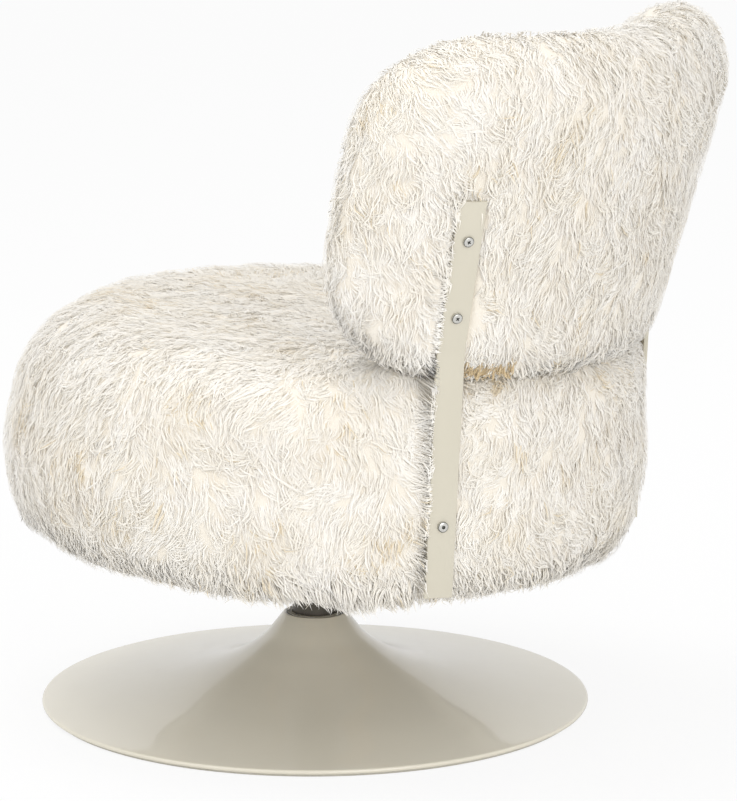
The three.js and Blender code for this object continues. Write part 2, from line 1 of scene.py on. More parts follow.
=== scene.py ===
# Swivel lounge chair in long-pile sheepskin on a trumpet foot
# Metres, +Z up, front of the seat towards -Y, swivel axis on Z, floor at zero

import math

import bmesh
import bpy
import numpy as np
from mathutils import Matrix, Vector
from mathutils.bvhtree import BVHTree


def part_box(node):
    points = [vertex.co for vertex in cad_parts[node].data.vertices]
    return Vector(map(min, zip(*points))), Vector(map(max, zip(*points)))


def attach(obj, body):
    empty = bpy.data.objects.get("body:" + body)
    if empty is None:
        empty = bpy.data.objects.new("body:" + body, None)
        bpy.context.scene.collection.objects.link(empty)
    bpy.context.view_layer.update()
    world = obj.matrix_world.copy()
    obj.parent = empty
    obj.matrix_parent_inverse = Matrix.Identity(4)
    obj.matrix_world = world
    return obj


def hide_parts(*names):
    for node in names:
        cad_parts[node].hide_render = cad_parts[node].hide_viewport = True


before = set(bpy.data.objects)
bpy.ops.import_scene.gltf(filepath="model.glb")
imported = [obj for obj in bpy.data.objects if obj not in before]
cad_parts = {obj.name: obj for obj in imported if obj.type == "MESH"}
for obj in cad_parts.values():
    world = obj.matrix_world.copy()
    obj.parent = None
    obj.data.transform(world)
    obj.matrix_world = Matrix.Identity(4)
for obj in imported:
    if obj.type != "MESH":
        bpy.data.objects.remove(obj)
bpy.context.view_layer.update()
scene = bpy.context.scene


# Camera. It stands behind the sitter's left shoulder, a little above the seat,
# and looks down at the chair from four metres, as the photographer did.
CAMERA_AZIMUTH = math.radians(120.4)
CAMERA_ELEVATION = math.radians(11.1)
CAMERA_DISTANCE = 4.0
CAMERA_TARGET = Vector((-0.0296, 0.0505, 0.3349))
CAMERA_LENS = 165.64
CAMERA_SENSOR = 36.0

camera_back = Vector((
    math.sin(CAMERA_AZIMUTH) * math.cos(CAMERA_ELEVATION),
    -math.cos(CAMERA_AZIMUTH) * math.cos(CAMERA_ELEVATION),
    math.sin(CAMERA_ELEVATION),
))
camera = bpy.data.objects.new("camera", bpy.data.cameras.new("camera"))
scene.collection.objects.link(camera)
camera.location = CAMERA_TARGET + camera_back * CAMERA_DISTANCE
camera.rotation_euler = (-camera_back).to_track_quat("-Z", "Y").to_euler()
camera.data.sensor_fit = "VERTICAL"
camera.data.sensor_width = CAMERA_SENSOR
camera.data.sensor_height = CAMERA_SENSOR
camera.data.lens = CAMERA_LENS
camera.data.clip_start = 0.05
camera.data.clip_end = 60.0
scene.camera = camera
scene.view_settings.view_transform = "Standard"


# Finishes. A finish is one Principled surface whose colour, gloss or relief changes over the
# piece; a Tone is a number that changes so, and sums of tones are written as plain sums.
class Tone:
    def __init__(self, finish, socket):
        self.finish = finish
        self.socket = socket

    def _sum(self, operation, first, second=None):
        values = {0: first} if second is None else {0: first, 1: second}
        return self.finish.node("ShaderNodeMath", {"operation": operation}, values).tone()

    def __add__(self, other):
        return self._sum("ADD", self, other)

    def __mul__(self, other):
        return self._sum("MULTIPLY", self, other)

    def __truediv__(self, other):
        return self._sum("DIVIDE", self, other)

    def __radd__(self, other):
        return self._sum("ADD", other, self)

    def __rsub__(self, other):
        return self._sum("SUBTRACT", other, self)

    def __rmul__(self, other):
        return self._sum("MULTIPLY", other, self)

    def floor(self):
        return self._sum("FLOOR", self)

    def clip(self):
        return self._sum("MAXIMUM", self._sum("MINIMUM", self, 1.0), 0.0)


class Node:
    def __init__(self, finish, node):
        self.finish = finish
        self.node = node

    def tone(self, name=0):
        return Tone(self.finish, self.node.outputs[name])


class Finish:
    def __init__(self, name, rough=0.5, metal=0.0, **fixed):
        self.material = bpy.data.materials.new(name)
        self.material.use_nodes = True
        self.tree = self.material.node_tree
        self.surface = self.tree.nodes["Principled BSDF"]
        self.set("Roughness", rough)
        self.set("Metallic", metal)
        for socket, value in fixed.items():
            self.set(socket.replace("_", " "), value)

    def set(self, name, value):
        self.join(self.surface.inputs[name], value)

    def join(self, socket, value):
        if isinstance(value, Tone):
            self.tree.links.new(value.socket, socket)
        else:
            socket.default_value = value

    def node(self, kind, settings=None, values=None):
        made = self.tree.nodes.new(kind)
        for name, value in (settings or {}).items():
            setattr(made, name, value)
        for name, value in (values or {}).items():
            self.join(made.inputs[name], value)
        return Node(self, made)

    def places(self):
        return self.node("ShaderNodeTexCoord").tone("Object")

    def stretched(self, scale):
        values = {"Vector": self.places(), "Scale": scale}
        return self.node("ShaderNodeMapping", None, values).tone()

    def noise(self, scale, detail=2.0, rough=0.5, places=None):
        values = {"Vector": places or self.places(), "Scale": scale}
        values |= {"Detail": detail, "Roughness": rough}
        return self.node("ShaderNodeTexNoise", None, values).tone("Fac")

    def blend(self, amount, first, second, mode="MIX"):
        mixer = self.node("ShaderNodeMix", {"data_type": "RGBA", "blend_type": mode})
        self.join(mixer.node.inputs[0], amount)
        self.join(mixer.node.inputs[6], first)
        self.join(mixer.node.inputs[7], second)
        return mixer.tone(2)

    def relief(self, height, depth, strength=1.0):
        values = {"Height": height, "Distance": depth, "Strength": strength}
        self.set("Normal", self.node("ShaderNodeBump", None, values).tone("Normal"))

    def follow(self, pattern, first, second, rough=None, relief=None):
        """Takes colour, and if asked roughness and relief, from one pattern."""
        self.set("Base Color", self.blend(pattern, first, second))
        if rough:
            self.set("Roughness", rough[0] + rough[1] * pattern)
        if relief:
            self.relief(pattern, *relief)
        return self.material


def colour(red, green, blue):
    """A colour named as a screen shows it, from 0 to 255, in the linear values a finish takes."""
    shares = [value / 255 for value in (red, green, blue)]
    linear = [s / 12.92 if s <= 0.04045 else ((s + 0.055) / 1.055) ** 2.4 for s in shares]
    return (*linear, 1.0)


# Studio. A pale floor that keeps the chair's shadow, a white surround that the coat and the
# screws mirror, and three large soft lamps.
WHITE = (1.0, 1.0, 1.0, 1.0)
FLOOR_PAINT = (0.92, 0.92, 0.92, 1.0)
FLOOR_SIZE = 24.0
FLOOR_GLOW = 0.86
SKY_LIGHT = 0.80
LAMP_AIM = Vector((0, 0, 0.4))

bpy.ops.mesh.primitive_plane_add(size=FLOOR_SIZE, location=(0, 0, 0))
floor = bpy.context.object
floor.name = "floor"
floor_finish = Finish("floor_paint", rough=0.9)
floor_finish.set("Base Color", FLOOR_PAINT)
floor_light = floor_finish.node("ShaderNodeLightPath")
floor_glow = floor_finish.node("ShaderNodeEmission", None, {"Color": WHITE, "Strength": 1.0})
floor_mix = floor_finish.node("ShaderNodeMixShader")
floor_finish.join(floor_mix.node.inputs[0], floor_light.tone("Is Camera Ray") * FLOOR_GLOW)
floor_finish.tree.links.new(floor_finish.surface.outputs[0], floor_mix.node.inputs[1])
floor_finish.tree.links.new(floor_glow.node.outputs[0], floor_mix.node.inputs[2])
floor_out = floor_finish.tree.nodes["Material Output"]
floor_finish.tree.links.new(floor_mix.node.outputs[0], floor_out.inputs["Surface"])
floor.data.materials.append(floor_finish.material)

scene.world = bpy.data.worlds.new("studio")
scene.world.use_nodes = True
sky = scene.world.node_tree
sky_rays = sky.nodes.new("ShaderNodeLightPath")
sky_seen = sky_rays.outputs["Is Camera Ray"]
for ray in ("Is Glossy Ray", "Is Transmission Ray"):
    either = sky.nodes.new("ShaderNodeMath")
    either.operation = "MAXIMUM"
    sky.links.new(sky_seen, either.inputs[0])
    sky.links.new(sky_rays.outputs[ray], either.inputs[1])
    sky_seen = either.outputs[0]
sky_strength = sky.nodes.new("ShaderNodeMapRange")
sky_strength.inputs["To Min"].default_value = SKY_LIGHT
sky_strength.inputs["To Max"].default_value = 1.0
sky.links.new(sky_seen, sky_strength.inputs["Value"])
sky.nodes["Background"].inputs["Color"].default_value = WHITE
sky.links.new(sky_strength.outputs["Result"], sky.nodes["Background"].inputs["Strength"])

for lamp_name, place, size, power in (
    ("key_lamp", (3.9, -0.6, 2.2), 3.4, 16.0),
    ("top_lamp", (0.3, -0.9, 4.2), 2.4, 46.0),
    ("fill_lamp", (2.6, 3.6, 1.8), 3.0, 54.0),
):
    lamp = bpy.data.objects.new(lamp_name, bpy.data.lights.new(lamp_name, "AREA"))
    lamp.data.shape = "DISK"
    lamp.data.size = size
    lamp.data.energy = power
    lamp.location = place
    lamp.rotation_euler = (Vector(place) - LAMP_AIM).to_track_quat("Z", "Y").to_euler()
    scene.collection.objects.link(lamp)


# Foot. The trumpet and its disc are one steel shell, spun to a thin wall, rounded at the rim
# and turned in at the mouth, and powder coated in a glossy greyish cream.
COAT = colour(233, 227, 210)
COAT_SHADE = colour(226, 220, 203)
TURN_STEPS = 160
WELD = 0.00001
DISC_RADIUS = 0.300
NECK_RADIUS = 0.036
NECK_HEIGHT = 0.098
RIM_HEIGHT = 0.008
RIM_ROUND = 0.0026
SHELL_WALL = 0.0025
MOUTH_RISE = 0.002
RUNNING_GAP = 0.0003
TRUMPET_SHARES = (
    (0.985, 0.002), (0.82, 0.055), (0.64, 0.131), (0.46, 0.225), (0.32, 0.335),
    (0.216, 0.456), (0.138, 0.59), (0.078, 0.724), (0.035, 0.87), (0.0, 1.0),
)


def coat_finish(name, pale, deep):
    """Powder coat: an even colour under a clear glossy skin with a faint orange peel."""
    finish = Finish(name, rough=0.32, Coat_Weight=0.6, Coat_Roughness=0.05)
    finish.set("Roughness", 0.26 + 0.1 * finish.noise(60.0, 2.0))
    finish.relief(finish.noise(420.0, 1.0), 0.00004, 0.4)
    return finish.follow(finish.noise(9.0, 3.0), pale, deep)


def settle(name, material, body, smooth=None):
    """Names the piece just made, gives it its finish and body, and leaves its place in its mesh."""
    piece = bpy.context.object
    bpy.ops.object.transform_apply(location=True, rotation=True, scale=True)
    if smooth is not None:
        bpy.ops.object.shade_smooth_by_angle(angle=smooth)
    piece.name = name
    piece.data.name = name
    piece.data.materials.clear()
    piece.data.materials.append(material)
    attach(piece, body)
    return piece


def turned(section, steps=TURN_STEPS):
    """A turned ring: a circle drawn at the first point, then pulled from point to point."""
    bpy.ops.object.select_all(action="DESELECT")
    radius, height = section[0]
    bpy.ops.mesh.primitive_circle_add(vertices=steps, radius=radius, location=(0, 0, height))
    bpy.ops.object.transform_apply(location=True, rotation=True, scale=True)
    bpy.ops.object.mode_set(mode="EDIT")
    bpy.ops.mesh.select_mode(type="VERT")
    bpy.ops.mesh.select_all(action="SELECT")
    for new_radius, new_height in [*section[1:], section[0]]:
        rise = {"value": (0, 0, new_height - height)}
        bpy.ops.mesh.extrude_region_move(TRANSFORM_OT_translate=rise)
        share = new_radius / radius
        bpy.ops.transform.resize(value=(share, share, 1), center_override=(0, 0, 0))
        radius, height = new_radius, new_height
    bpy.ops.mesh.select_all(action="SELECT")
    bpy.ops.mesh.remove_doubles(threshold=WELD)
    bpy.ops.mesh.normals_make_consistent(inside=False)
    bpy.ops.object.mode_set(mode="OBJECT")
    return bpy.context.object


def flowing(points, steps=4):
    """A smooth line through points, with a few more points between each two of them."""
    line = np.array(points, float)
    ends = np.vstack([2 * line[0] - line[1], line, 2 * line[-1] - line[-2]])
    flow = []
    for a, b, c, d in zip(ends, ends[1:], ends[2:], ends[3:]):
        for step in range(steps):
            t = step / steps
            flow.append(0.5 * (
                2 * b + (c - a) * t + (2 * a - 5 * b + 4 * c - d) * t * t
                + (3 * b - a - 3 * c + d) * t ** 3
            ))
    return np.array([*flow, line[-1]])


def beside(line, distance):
    """The same line moved sideways, to its left when it runs."""
    run = np.gradient(line, axis=0)
    run /= np.linalg.norm(run, axis=1)[:, None]
    return line + distance * np.stack([-run[:, 1], run[:, 0]], axis=1)


def arc(radius, height, size, start, end, steps):
    """Points of a round from one angle to another, in degrees, in a turned section."""
    angles = np.radians(np.linspace(start, end, steps))
    return [(radius + size * math.cos(a), height + size * math.sin(a)) for a in angles]


coat = coat_finish("powder_coat", COAT, COAT_SHADE)
trumpet_top = flowing([
    (NECK_RADIUS + (DISC_RADIUS - NECK_RADIUS) * out, RIM_HEIGHT + (NECK_HEIGHT - RIM_HEIGHT) * up)
    for out, up in TRUMPET_SHARES
])
trumpet_under = beside(trumpet_top, SHELL_WALL)
mouth_inner = float(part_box("column_sleeve")[1].x) + RUNNING_GAP
turned([
    *[tuple(point) for point in trumpet_under[::-1]],
    *arc(DISC_RADIUS - RIM_ROUND, RIM_HEIGHT - RIM_ROUND, RIM_ROUND, -90, 90, 9),
    *[tuple(point) for point in trumpet_top],
    *arc((NECK_RADIUS + mouth_inner) / 2, NECK_HEIGHT, MOUTH_RISE, 20, 160, 7),
    (mouth_inner, NECK_HEIGHT),
    (mouth_inner, NECK_HEIGHT - SHELL_WALL / 2),
])
trumpet = settle("trumpet", coat, "base", smooth=math.radians(40))
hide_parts("base_shell")


# Glide ring. A ring of pale nylon pressed under the rim, which keeps the steel off the floor
# and shows from the side as a thin second line below the disc.
NYLON = colour(226, 222, 210)
NYLON_SHADE = colour(206, 201, 187)
GLIDE_EDGE = 0.0008
GLIDE_WIDTH = 0.011
GLIDE_DROP_OUT = 0.0026
GLIDE_DROP_IN = 0.0012


def nylon_finish():
    """Moulded nylon: slightly waxy, a little uneven in tone and gloss."""
    glow = {"Subsurface_Weight": 0.08, "Subsurface_Radius": (0.002, 0.002, 0.001)}
    finish = Finish("pale_nylon", rough=0.45, **glow)
    finish.set("Roughness", 0.4 + 0.15 * finish.noise(120.0))
    return finish.follow(finish.noise(35.0), NYLON, NYLON_SHADE)


nylon = nylon_finish()
ring_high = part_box("floor_ring")[1]
ring_outer = float(ring_high.x)
ring_inner = ring_outer - GLIDE_WIDTH
turned([
    (ring_inner, GLIDE_EDGE), (ring_inner + GLIDE_EDGE, 0.0), (ring_outer - GLIDE_EDGE, 0.0),
    (ring_outer, GLIDE_EDGE), (ring_outer, float(ring_high.z) - GLIDE_DROP_OUT),
    (ring_inner, float(ring_high.z) - GLIDE_DROP_IN),
])
glide = settle("glide_ring", nylon, "base", smooth=math.radians(35))
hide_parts("floor_ring")


# Mouth of the trumpet. The lip of the upper bush lies on the mouth as a thin pale ring, and the
# browned steel column turns in it.
RING_STEPS = 96
BUSH_WALL = 0.0022
LIP_EDGE = 0.0005
LIP_STAND = 0.0023
lip_low, lip_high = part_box("upper_bush")
column_low, column_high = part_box("swivel_column")
column_radius = float(column_high.x)
bush_inner = column_radius + RUNNING_GAP
bush_outer = bush_inner + BUSH_WALL
lip_outer = float(lip_high.x)
lip_top = float(lip_high.z)
lip_seat = NECK_HEIGHT + LIP_STAND
turned([
    (bush_inner, float(lip_low.z)), (bush_outer, float(lip_low.z)),
    (bush_outer, lip_seat), (lip_outer, lip_seat), (lip_outer, lip_top - LIP_EDGE),
    (lip_outer - LIP_EDGE, lip_top), (bush_inner + LIP_EDGE, lip_top),
    (bush_inner, lip_top - LIP_EDGE),
], RING_STEPS)
lip = settle("bush_lip", nylon, "base", smooth=math.radians(35))
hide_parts("upper_bush")

SEAT_TILT = math.radians(3)
PLATE_HEIGHT = 0.203
COLUMN_STEEL = colour(92, 88, 80)
COLUMN_DARK = colour(70, 66, 60)
COLUMN_WALL = 0.003
COLUMN_STEPS = 64
seat_place = Matrix.Translation((0, 0, PLATE_HEIGHT)) @ Matrix.Rotation(-SEAT_TILT, 4, "X")
column_bore = column_radius - COLUMN_WALL


def column_finish():
    """Browned steel, ground smooth to turn in its bushes."""
    finish = Finish("browned_steel", rough=0.4, metal=0.7)
    return finish.follow(finish.noise(40.0), COLUMN_STEEL, COLUMN_DARK)


turned([
    (column_bore, float(column_low.z)), (column_radius, float(column_low.z)),
    (column_radius, float(column_high.z)), (column_bore, float(column_high.z)),
], COLUMN_STEPS)
bpy.ops.object.mode_set(mode="EDIT")
bpy.ops.mesh.select_all(action="SELECT")
bpy.ops.mesh.bisect(
    plane_co=seat_place @ Vector((0, 0, -RUNNING_GAP)),
    plane_no=seat_place.to_3x3() @ Vector((0, 0, 1)),
    clear_outer=True, use_fill=True,
)
bpy.ops.object.mode_set(mode="OBJECT")
column = settle("turning_column", column_finish(), "seat", smooth=math.radians(35))
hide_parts("swivel_column")


# Metal inside the foot and under the seat. Sawn and turned mild steel, bright and lightly
# scratched, as it comes before it is covered.
STEEL = colour(150, 150, 152)
STEEL_DARK = colour(112, 112, 116)


def steel_finish():
    """Mill steel: fine scratches one way, with duller patches."""
    finish = Finish("mill_steel", rough=0.4, metal=0.9)
    scratches = finish.noise(30.0, 4.0, 0.6, finish.stretched((60.0, 2.0, 60.0)))
    return finish.follow(scratches, STEEL_DARK, STEEL, (0.3, 0.25), (0.00003, 0.5))


def dress(nodes, material):
    """Gives CAD nodes a finish on their own slots."""
    for name in nodes:
        for piece_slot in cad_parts[name].material_slots:
            piece_slot.material = material


steel = steel_finish()
four = range(1, 5)
three = range(1, 4)
dress([
    "ballast_plate", "column_flange", "column_sleeve", "column_plug", "retaining_washer",
    "retaining_bolt", "mount_plate", *[f"flange_bolt_{i}" for i in four],
    *[f"mount_bolt_{i}" for i in four],
    *[f"tee_nut_{side}_{i}" for side in ("left", "right") for i in three],
], steel)
dress(["thrust_disc", "lower_bush"], nylon)


# Floor pad. A thin disc of grey wool felt glued under the ballast plate.
FELT = colour(96, 93, 89)
FELT_DARK = colour(64, 62, 60)
FELT_EDGE = 0.0004
FELT_EYE = 0.002


def felt_finish():
    """Pressed felt: matt, flecked and slightly hairy."""
    finish = Finish("wool_felt", rough=0.95, Sheen_Weight=0.3, Sheen_Roughness=0.6)
    flecks = finish.noise(700.0, 3.0, 0.7)
    return finish.follow(flecks, FELT_DARK, FELT, relief=(0.0003, 0.6))


pad_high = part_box("base_pad")[1]
pad_radius, pad_top = float(pad_high.x), float(pad_high.z)
turned([
    (FELT_EYE, 0.0), (pad_radius - FELT_EDGE, 0.0), (pad_radius, FELT_EDGE),
    (pad_radius, pad_top - FELT_EDGE), (pad_radius - FELT_EDGE, pad_top), (FELT_EYE, pad_top),
], RING_STEPS)
felt_pad = settle("felt_pad", felt_finish(), "base", smooth=math.radians(35))
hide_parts("base_pad")


# Wood of the seat and the back. Birch plywood: a flat board, a hoop bent round it and glued,
# and a shell pressed to the curve of the back.
BIRCH = colour(212, 180, 132)
BIRCH_DARK = colour(176, 138, 92)


def plywood_finish():
    """Birch plywood: long grain on the faces, with thin darker plies across the edges."""
    finish = Finish("birch_plywood", rough=0.6)
    grain = finish.noise(9.0, 5.0, 0.6, finish.stretched((1.0, 18.0, 18.0)))
    plies = finish.node("ShaderNodeTexWave", {"bands_direction": "Z"}, {
        "Vector": finish.places(), "Scale": 110.0, "Distortion": 0.4,
    }).tone("Fac")
    finish.set("Base Color", finish.blend(grain * 0.8 + plies * 0.2, BIRCH_DARK, BIRCH))
    finish.set("Roughness", 0.5 + 0.2 * grain)
    finish.relief(grain, 0.0002, 0.4)
    return finish.material


dress(["seat_board", "seat_hoop", "back_shell"], plywood_finish())


# Straps. Flat steel bars, bent once where they leave the seat and lean out along the back, their
# edges eased and the whole coated as the foot is, but in a darker copy of that coat: a painted
# shade.
BAR_COAT_PAINTED_SHADE = colour(208, 202, 185)
BAR_COAT_PAINTED_SHADE_DEEP = colour(202, 196, 178)
STRAP_WIDTH = 0.030
STRAP_THICKNESS = 0.005
STRAP_FOOT = 0.009
STRAP_TOP = 0.419
STRAP_BEND = 0.2604
STRAP_LEAN = math.radians(13.1)
STRAP_ANGLE = math.radians(50.4)
STRAP_FACING = math.radians(51.5)
STRAP_REACH = 0.3465
SEAT_SETBACK = 0.012
STRAP_EDGE = 0.0009
BEND_STEPS = 8
BEND_RADIUS = 0.060
strap_out = STRAP_REACH * math.cos(STRAP_ANGLE)
strap_back = SEAT_SETBACK + STRAP_REACH * math.sin(STRAP_ANGLE)


def apply(piece, kind, **settings):
    """Adds one modifier to a piece with its settings and applies it."""
    change = piece.modifiers.new(kind.lower(), kind)
    for name, value in settings.items():
        setattr(change, name, value)
    bpy.ops.object.select_all(action="DESELECT")
    bpy.context.view_layer.objects.active = piece
    piece.select_set(True)
    bpy.ops.object.modifier_apply(modifier=change.name)


def strap_place(side):
    """Where a strap stands: its X points out of the seat and its Z up along the strap."""
    facing = STRAP_FACING if side > 0 else math.pi - STRAP_FACING
    turn = Matrix.Rotation(facing, 4, "Z")
    return seat_place @ Matrix.Translation((side * strap_out, strap_back, 0)) @ turn


def strap_bar(side):
    """A flat bar: a flat end drawn at the foot, pulled up, round the bend and on to the top."""
    bpy.ops.object.select_all(action="DESELECT")
    bpy.ops.mesh.primitive_plane_add(size=1, location=(-STRAP_THICKNESS / 2, 0, STRAP_FOOT))
    bpy.context.object.scale = (STRAP_THICKNESS, STRAP_WIDTH, 1)
    bpy.ops.object.transform_apply(location=True, rotation=True, scale=True)
    bpy.ops.object.mode_set(mode="EDIT")
    bpy.ops.mesh.select_all(action="SELECT")
    bend_start = STRAP_BEND - BEND_RADIUS * math.tan(STRAP_LEAN / 2)
    rise = {"value": (0, 0, bend_start - STRAP_FOOT)}
    bpy.ops.mesh.extrude_region_move(TRANSFORM_OT_translate=rise)
    centre = Vector((BEND_RADIUS, 0, bend_start))
    step = STRAP_LEAN / BEND_STEPS
    for _ in range(BEND_STEPS):
        bpy.ops.mesh.extrude_region_move(TRANSFORM_OT_translate={"value": (0, 0, 0)})
        bpy.ops.transform.rotate(value=-step, orient_axis="Y", center_override=centre)
    end_height = centre.z + BEND_RADIUS * math.sin(STRAP_LEAN)
    run = (STRAP_TOP - end_height) * math.tan(STRAP_LEAN)
    rise = {"value": (run, 0, STRAP_TOP - end_height)}
    bpy.ops.mesh.extrude_region_move(TRANSFORM_OT_translate=rise)
    bpy.ops.mesh.select_all(action="SELECT")
    bpy.ops.mesh.normals_make_consistent(inside=False)
    bpy.ops.object.mode_set(mode="OBJECT")
    bar = bpy.context.object
    sharp = {"limit_method": "ANGLE", "angle_limit": math.radians(40)}
    apply(bar, "BEVEL", width=STRAP_EDGE, segments=3, **sharp)
    bar.matrix_world = strap_place(side)
    return bar


# The bars take a darker copy of the foot's powder coat colours: a painted shade.
bar_coat_painted_shade = coat_finish("bar_coat_painted_shade", BAR_COAT_PAINTED_SHADE, BAR_COAT_PAINTED_SHADE_DEEP)
for side, side_name in ((1, "left"), (-1, "right")):
    strap_bar(side)
    bar = settle(f"bar_{side_name}", bar_coat_painted_shade, "seat", smooth=math.radians(35))
    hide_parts(f"strap_{side_name}")


# Screws of the straps. Nickel-plated M6 pan heads; the two upper ones of each strap have a
# cross recess and the lowest a hexagon socket.
# A thin ring under the rim of each head and the inside of its recess carry a painted shade.
NICKEL = colour(214, 213, 208)
NICKEL_DULL = colour(190, 189, 185)
# The darkest nickel colour below is painted shade, for the ring under each head's rim and inside
# its recess.
NICKEL_PAINTED_SHADE = colour(104, 104, 98)
HEAD_RADIUS = 0.0055
HEAD_STEPS = 40
HEAD_RISE = 0.0024
HEAD_CROWN = 0.0009
PAINTED_SHADE_RIM = 0.0007
RIM_EDGE = 0.0001
CROWN_INSETS = ((PAINTED_SHADE_RIM, 0.5), (0.0006, 0.3), (0.0009, 0.2))
SHANK_RADIUS = 0.003
SHANK_LENGTH = 0.040
RECESS_DEPTH = 0.0020
RECESS_REACH = 0.0026
SOCKET_RADIUS = 0.0021
WEDGE_FOOT, WEDGE_TOP = 0.0016, 0.0034
WEDGE_LONG, WEDGE_THIN = 1.15, 0.36
SCREW_TURN = math.radians(20)
SEATING_GAP = 0.0003
LOW_SCREW, MIDDLE_SCREW, HIGH_SCREW = 0.0835, 0.2985, 0.3785


def nickel_finish():
    """Bright nickel plate with faint wipe marks."""
    finish = Finish("nickel_plate", rough=0.22, metal=1.0)
    marks = finish.noise(900.0, 2.0)
    return finish.follow(marks, NICKEL_DULL, NICKEL, (0.16, 0.2))


def painted_shade_finish():
    """Painted shade: darker nickel painted in a thin ring under the head's rim and inside its
    recess.
    """
    return Finish("nickel_painted_shade", rough=0.45, metal=0.8, Base_Color=NICKEL_PAINTED_SHADE).material


def recess_tool(socket):
    """What cuts the recess: a hexagon, or two crossed wedges that narrow downwards."""
    height = HEAD_RISE + HEAD_CROWN + SEATING_GAP
    bpy.ops.object.select_all(action="DESELECT")
    if socket:
        bpy.ops.mesh.primitive_cylinder_add(
            vertices=6, radius=SOCKET_RADIUS, depth=2 * RECESS_DEPTH, location=(0, 0, height))
        return bpy.context.object
    wedges = []
    for scale in ((WEDGE_LONG, WEDGE_THIN, 1.0), (WEDGE_THIN, WEDGE_LONG, 1.0)):
        bpy.ops.mesh.primitive_cone_add(
            vertices=4, radius1=WEDGE_FOOT, radius2=WEDGE_TOP, depth=2 * RECESS_DEPTH,
            location=(0, 0, height), rotation=(0, 0, math.pi / 4))
        bpy.ops.object.transform_apply(location=False, rotation=True, scale=False)
        bpy.context.object.scale = scale
        wedges.append(bpy.context.object)
    apply(wedges[0], "BOOLEAN", operation="UNION", object=wedges[1])
    bpy.data.objects.remove(wedges[1])
    return wedges[0]


def screw(place, socket):
    """A pan-head screw: a disc with a rounded edge and a low crown, its shank and its recess."""
    bpy.ops.object.select_all(action="DESELECT")
    bpy.ops.mesh.primitive_cylinder_add(
        vertices=HEAD_STEPS, radius=HEAD_RADIUS, depth=HEAD_RISE,
        location=(0, 0, SEATING_GAP + HEAD_RISE / 2))
    bpy.ops.object.transform_apply(location=True, rotation=True, scale=True)
    head = bpy.context.object
    bpy.ops.object.mode_set(mode="EDIT")
    bpy.ops.mesh.select_mode(type="FACE")
    for top in (True, False):
        bpy.ops.mesh.select_all(action="DESELECT")
        shape = bmesh.from_edit_mesh(head.data)
        for face in shape.faces:
            face.select = face.normal.z > 0.9 if top else face.normal.z < -0.9
        bmesh.update_edit_mesh(head.data)
        if top:
            for width, lift in CROWN_INSETS:
                bpy.ops.mesh.inset(thickness=width)
                bpy.ops.transform.translate(value=(0, 0, HEAD_CROWN * lift))
        else:
            bpy.ops.mesh.inset(thickness=HEAD_RADIUS - SHANK_RADIUS)
            depth = {"value": (0, 0, -SHANK_LENGTH)}
            bpy.ops.mesh.extrude_region_move(TRANSFORM_OT_translate=depth)
    bpy.ops.object.mode_set(mode="OBJECT")
    tool = recess_tool(socket)
    apply(head, "BOOLEAN", operation="DIFFERENCE", object=tool)
    bpy.data.objects.remove(tool)
    crown = SEATING_GAP + HEAD_RISE + HEAD_CROWN / 2
    # Faces in a thin ring under the rim and inside the recess are marked for the painted shade.
    painted_shade_faces = []
    for face in head.data.polygons:
        reach = math.hypot(face.center.x, face.center.y)
        rim = HEAD_RADIUS - PAINTED_SHADE_RIM < reach < HEAD_RADIUS - RIM_EDGE
        painted_shade_faces.append(rim or (reach < RECESS_REACH and face.center.z < crown))
    head.matrix_world = place
    return painted_shade_faces


nickel = nickel_finish()
nickel_painted_shade = painted_shade_finish()
for side, side_name in ((1, "left"), (-1, "right")):
    for number, height in enumerate((LOW_SCREW, MIDDLE_SCREW, HIGH_SCREW), 1):
        leaning = height > STRAP_BEND
        out = (height - STRAP_BEND) * math.tan(STRAP_LEAN) if leaning else 0.0
        facing = Matrix.Rotation(math.pi / 2 + leaning * STRAP_LEAN, 4, "Y")
        facing @= Matrix.Rotation(SCREW_TURN * number, 4, "Z")
        place = strap_place(side) @ Matrix.Translation((out, 0, height)) @ facing
        painted_shade_faces = screw(place, not leaning)
        name = f"screw_{side_name}_{number}"
        head = settle(name, nickel, "seat", smooth=math.radians(35))
        # The marked faces, the ring under the rim and the recess, take the painted shade finish.
        head.data.materials.append(nickel_painted_shade)
        for face, painted_dark in zip(head.data.polygons, painted_shade_faces):
            face.material_index = int(painted_dark)
        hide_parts(f"strap_screw_{side_name}_{number}")


# Seat and back under the pile. Foam on the plywood, drawn tight in sheepskin: each is one
# swollen, crowned body in bare hide, tanned and stapled under the board, that carries the wool.
HIDE = colour(245, 239, 228)
HIDE_DARK = colour(240, 232, 217)
VOXEL = 0.008
SWELL_PRESSURE = 4.0
SWELL_FRAMES = 20
SWELL_CAP = 0.006
CLOTH_MASS = 0.3
SMOOTH_ROUNDS = 8
FLAT_UNDERSIDE = 0.010
TURNED_IN_RADIUS = 0.262
UNDERWOOL = 0.0500
BANK_RISE = 0.022
BANK_WIDTH = 0.045
BANK_END = 0.26
BANK_FADE = 0.04
PILE_DEPTH = 0.0185
PRESSED_EDGE = 0.002
PRESSED_LIP = 0.003
PRESSED_ROOM = 0.001
PRESSED_DEPTH = 0.06
BOARD_SHOWS = 0.0015
SKY_LEAN = 0.35


def hide_finish():
    """Tanned hide: a soft buff skin with cloudy patches and a fine grain."""
    finish = Finish("bare_hide", rough=0.8, Sheen_Weight=0.25, Sheen_Roughness=0.5)
    finish.relief(finish.noise(500.0, 3.0), 0.0006, 0.6)
    return finish.follow(finish.noise(14.0, 4.0), HIDE, HIDE_DARK, (0.7, 0.2))


def points_of(piece):
    """The corners of a piece's mesh, one row each."""
    flat = np.empty(3 * len(piece.data.vertices))
    piece.data.vertices.foreach_get("co", flat)
    return flat.reshape(-1, 3)


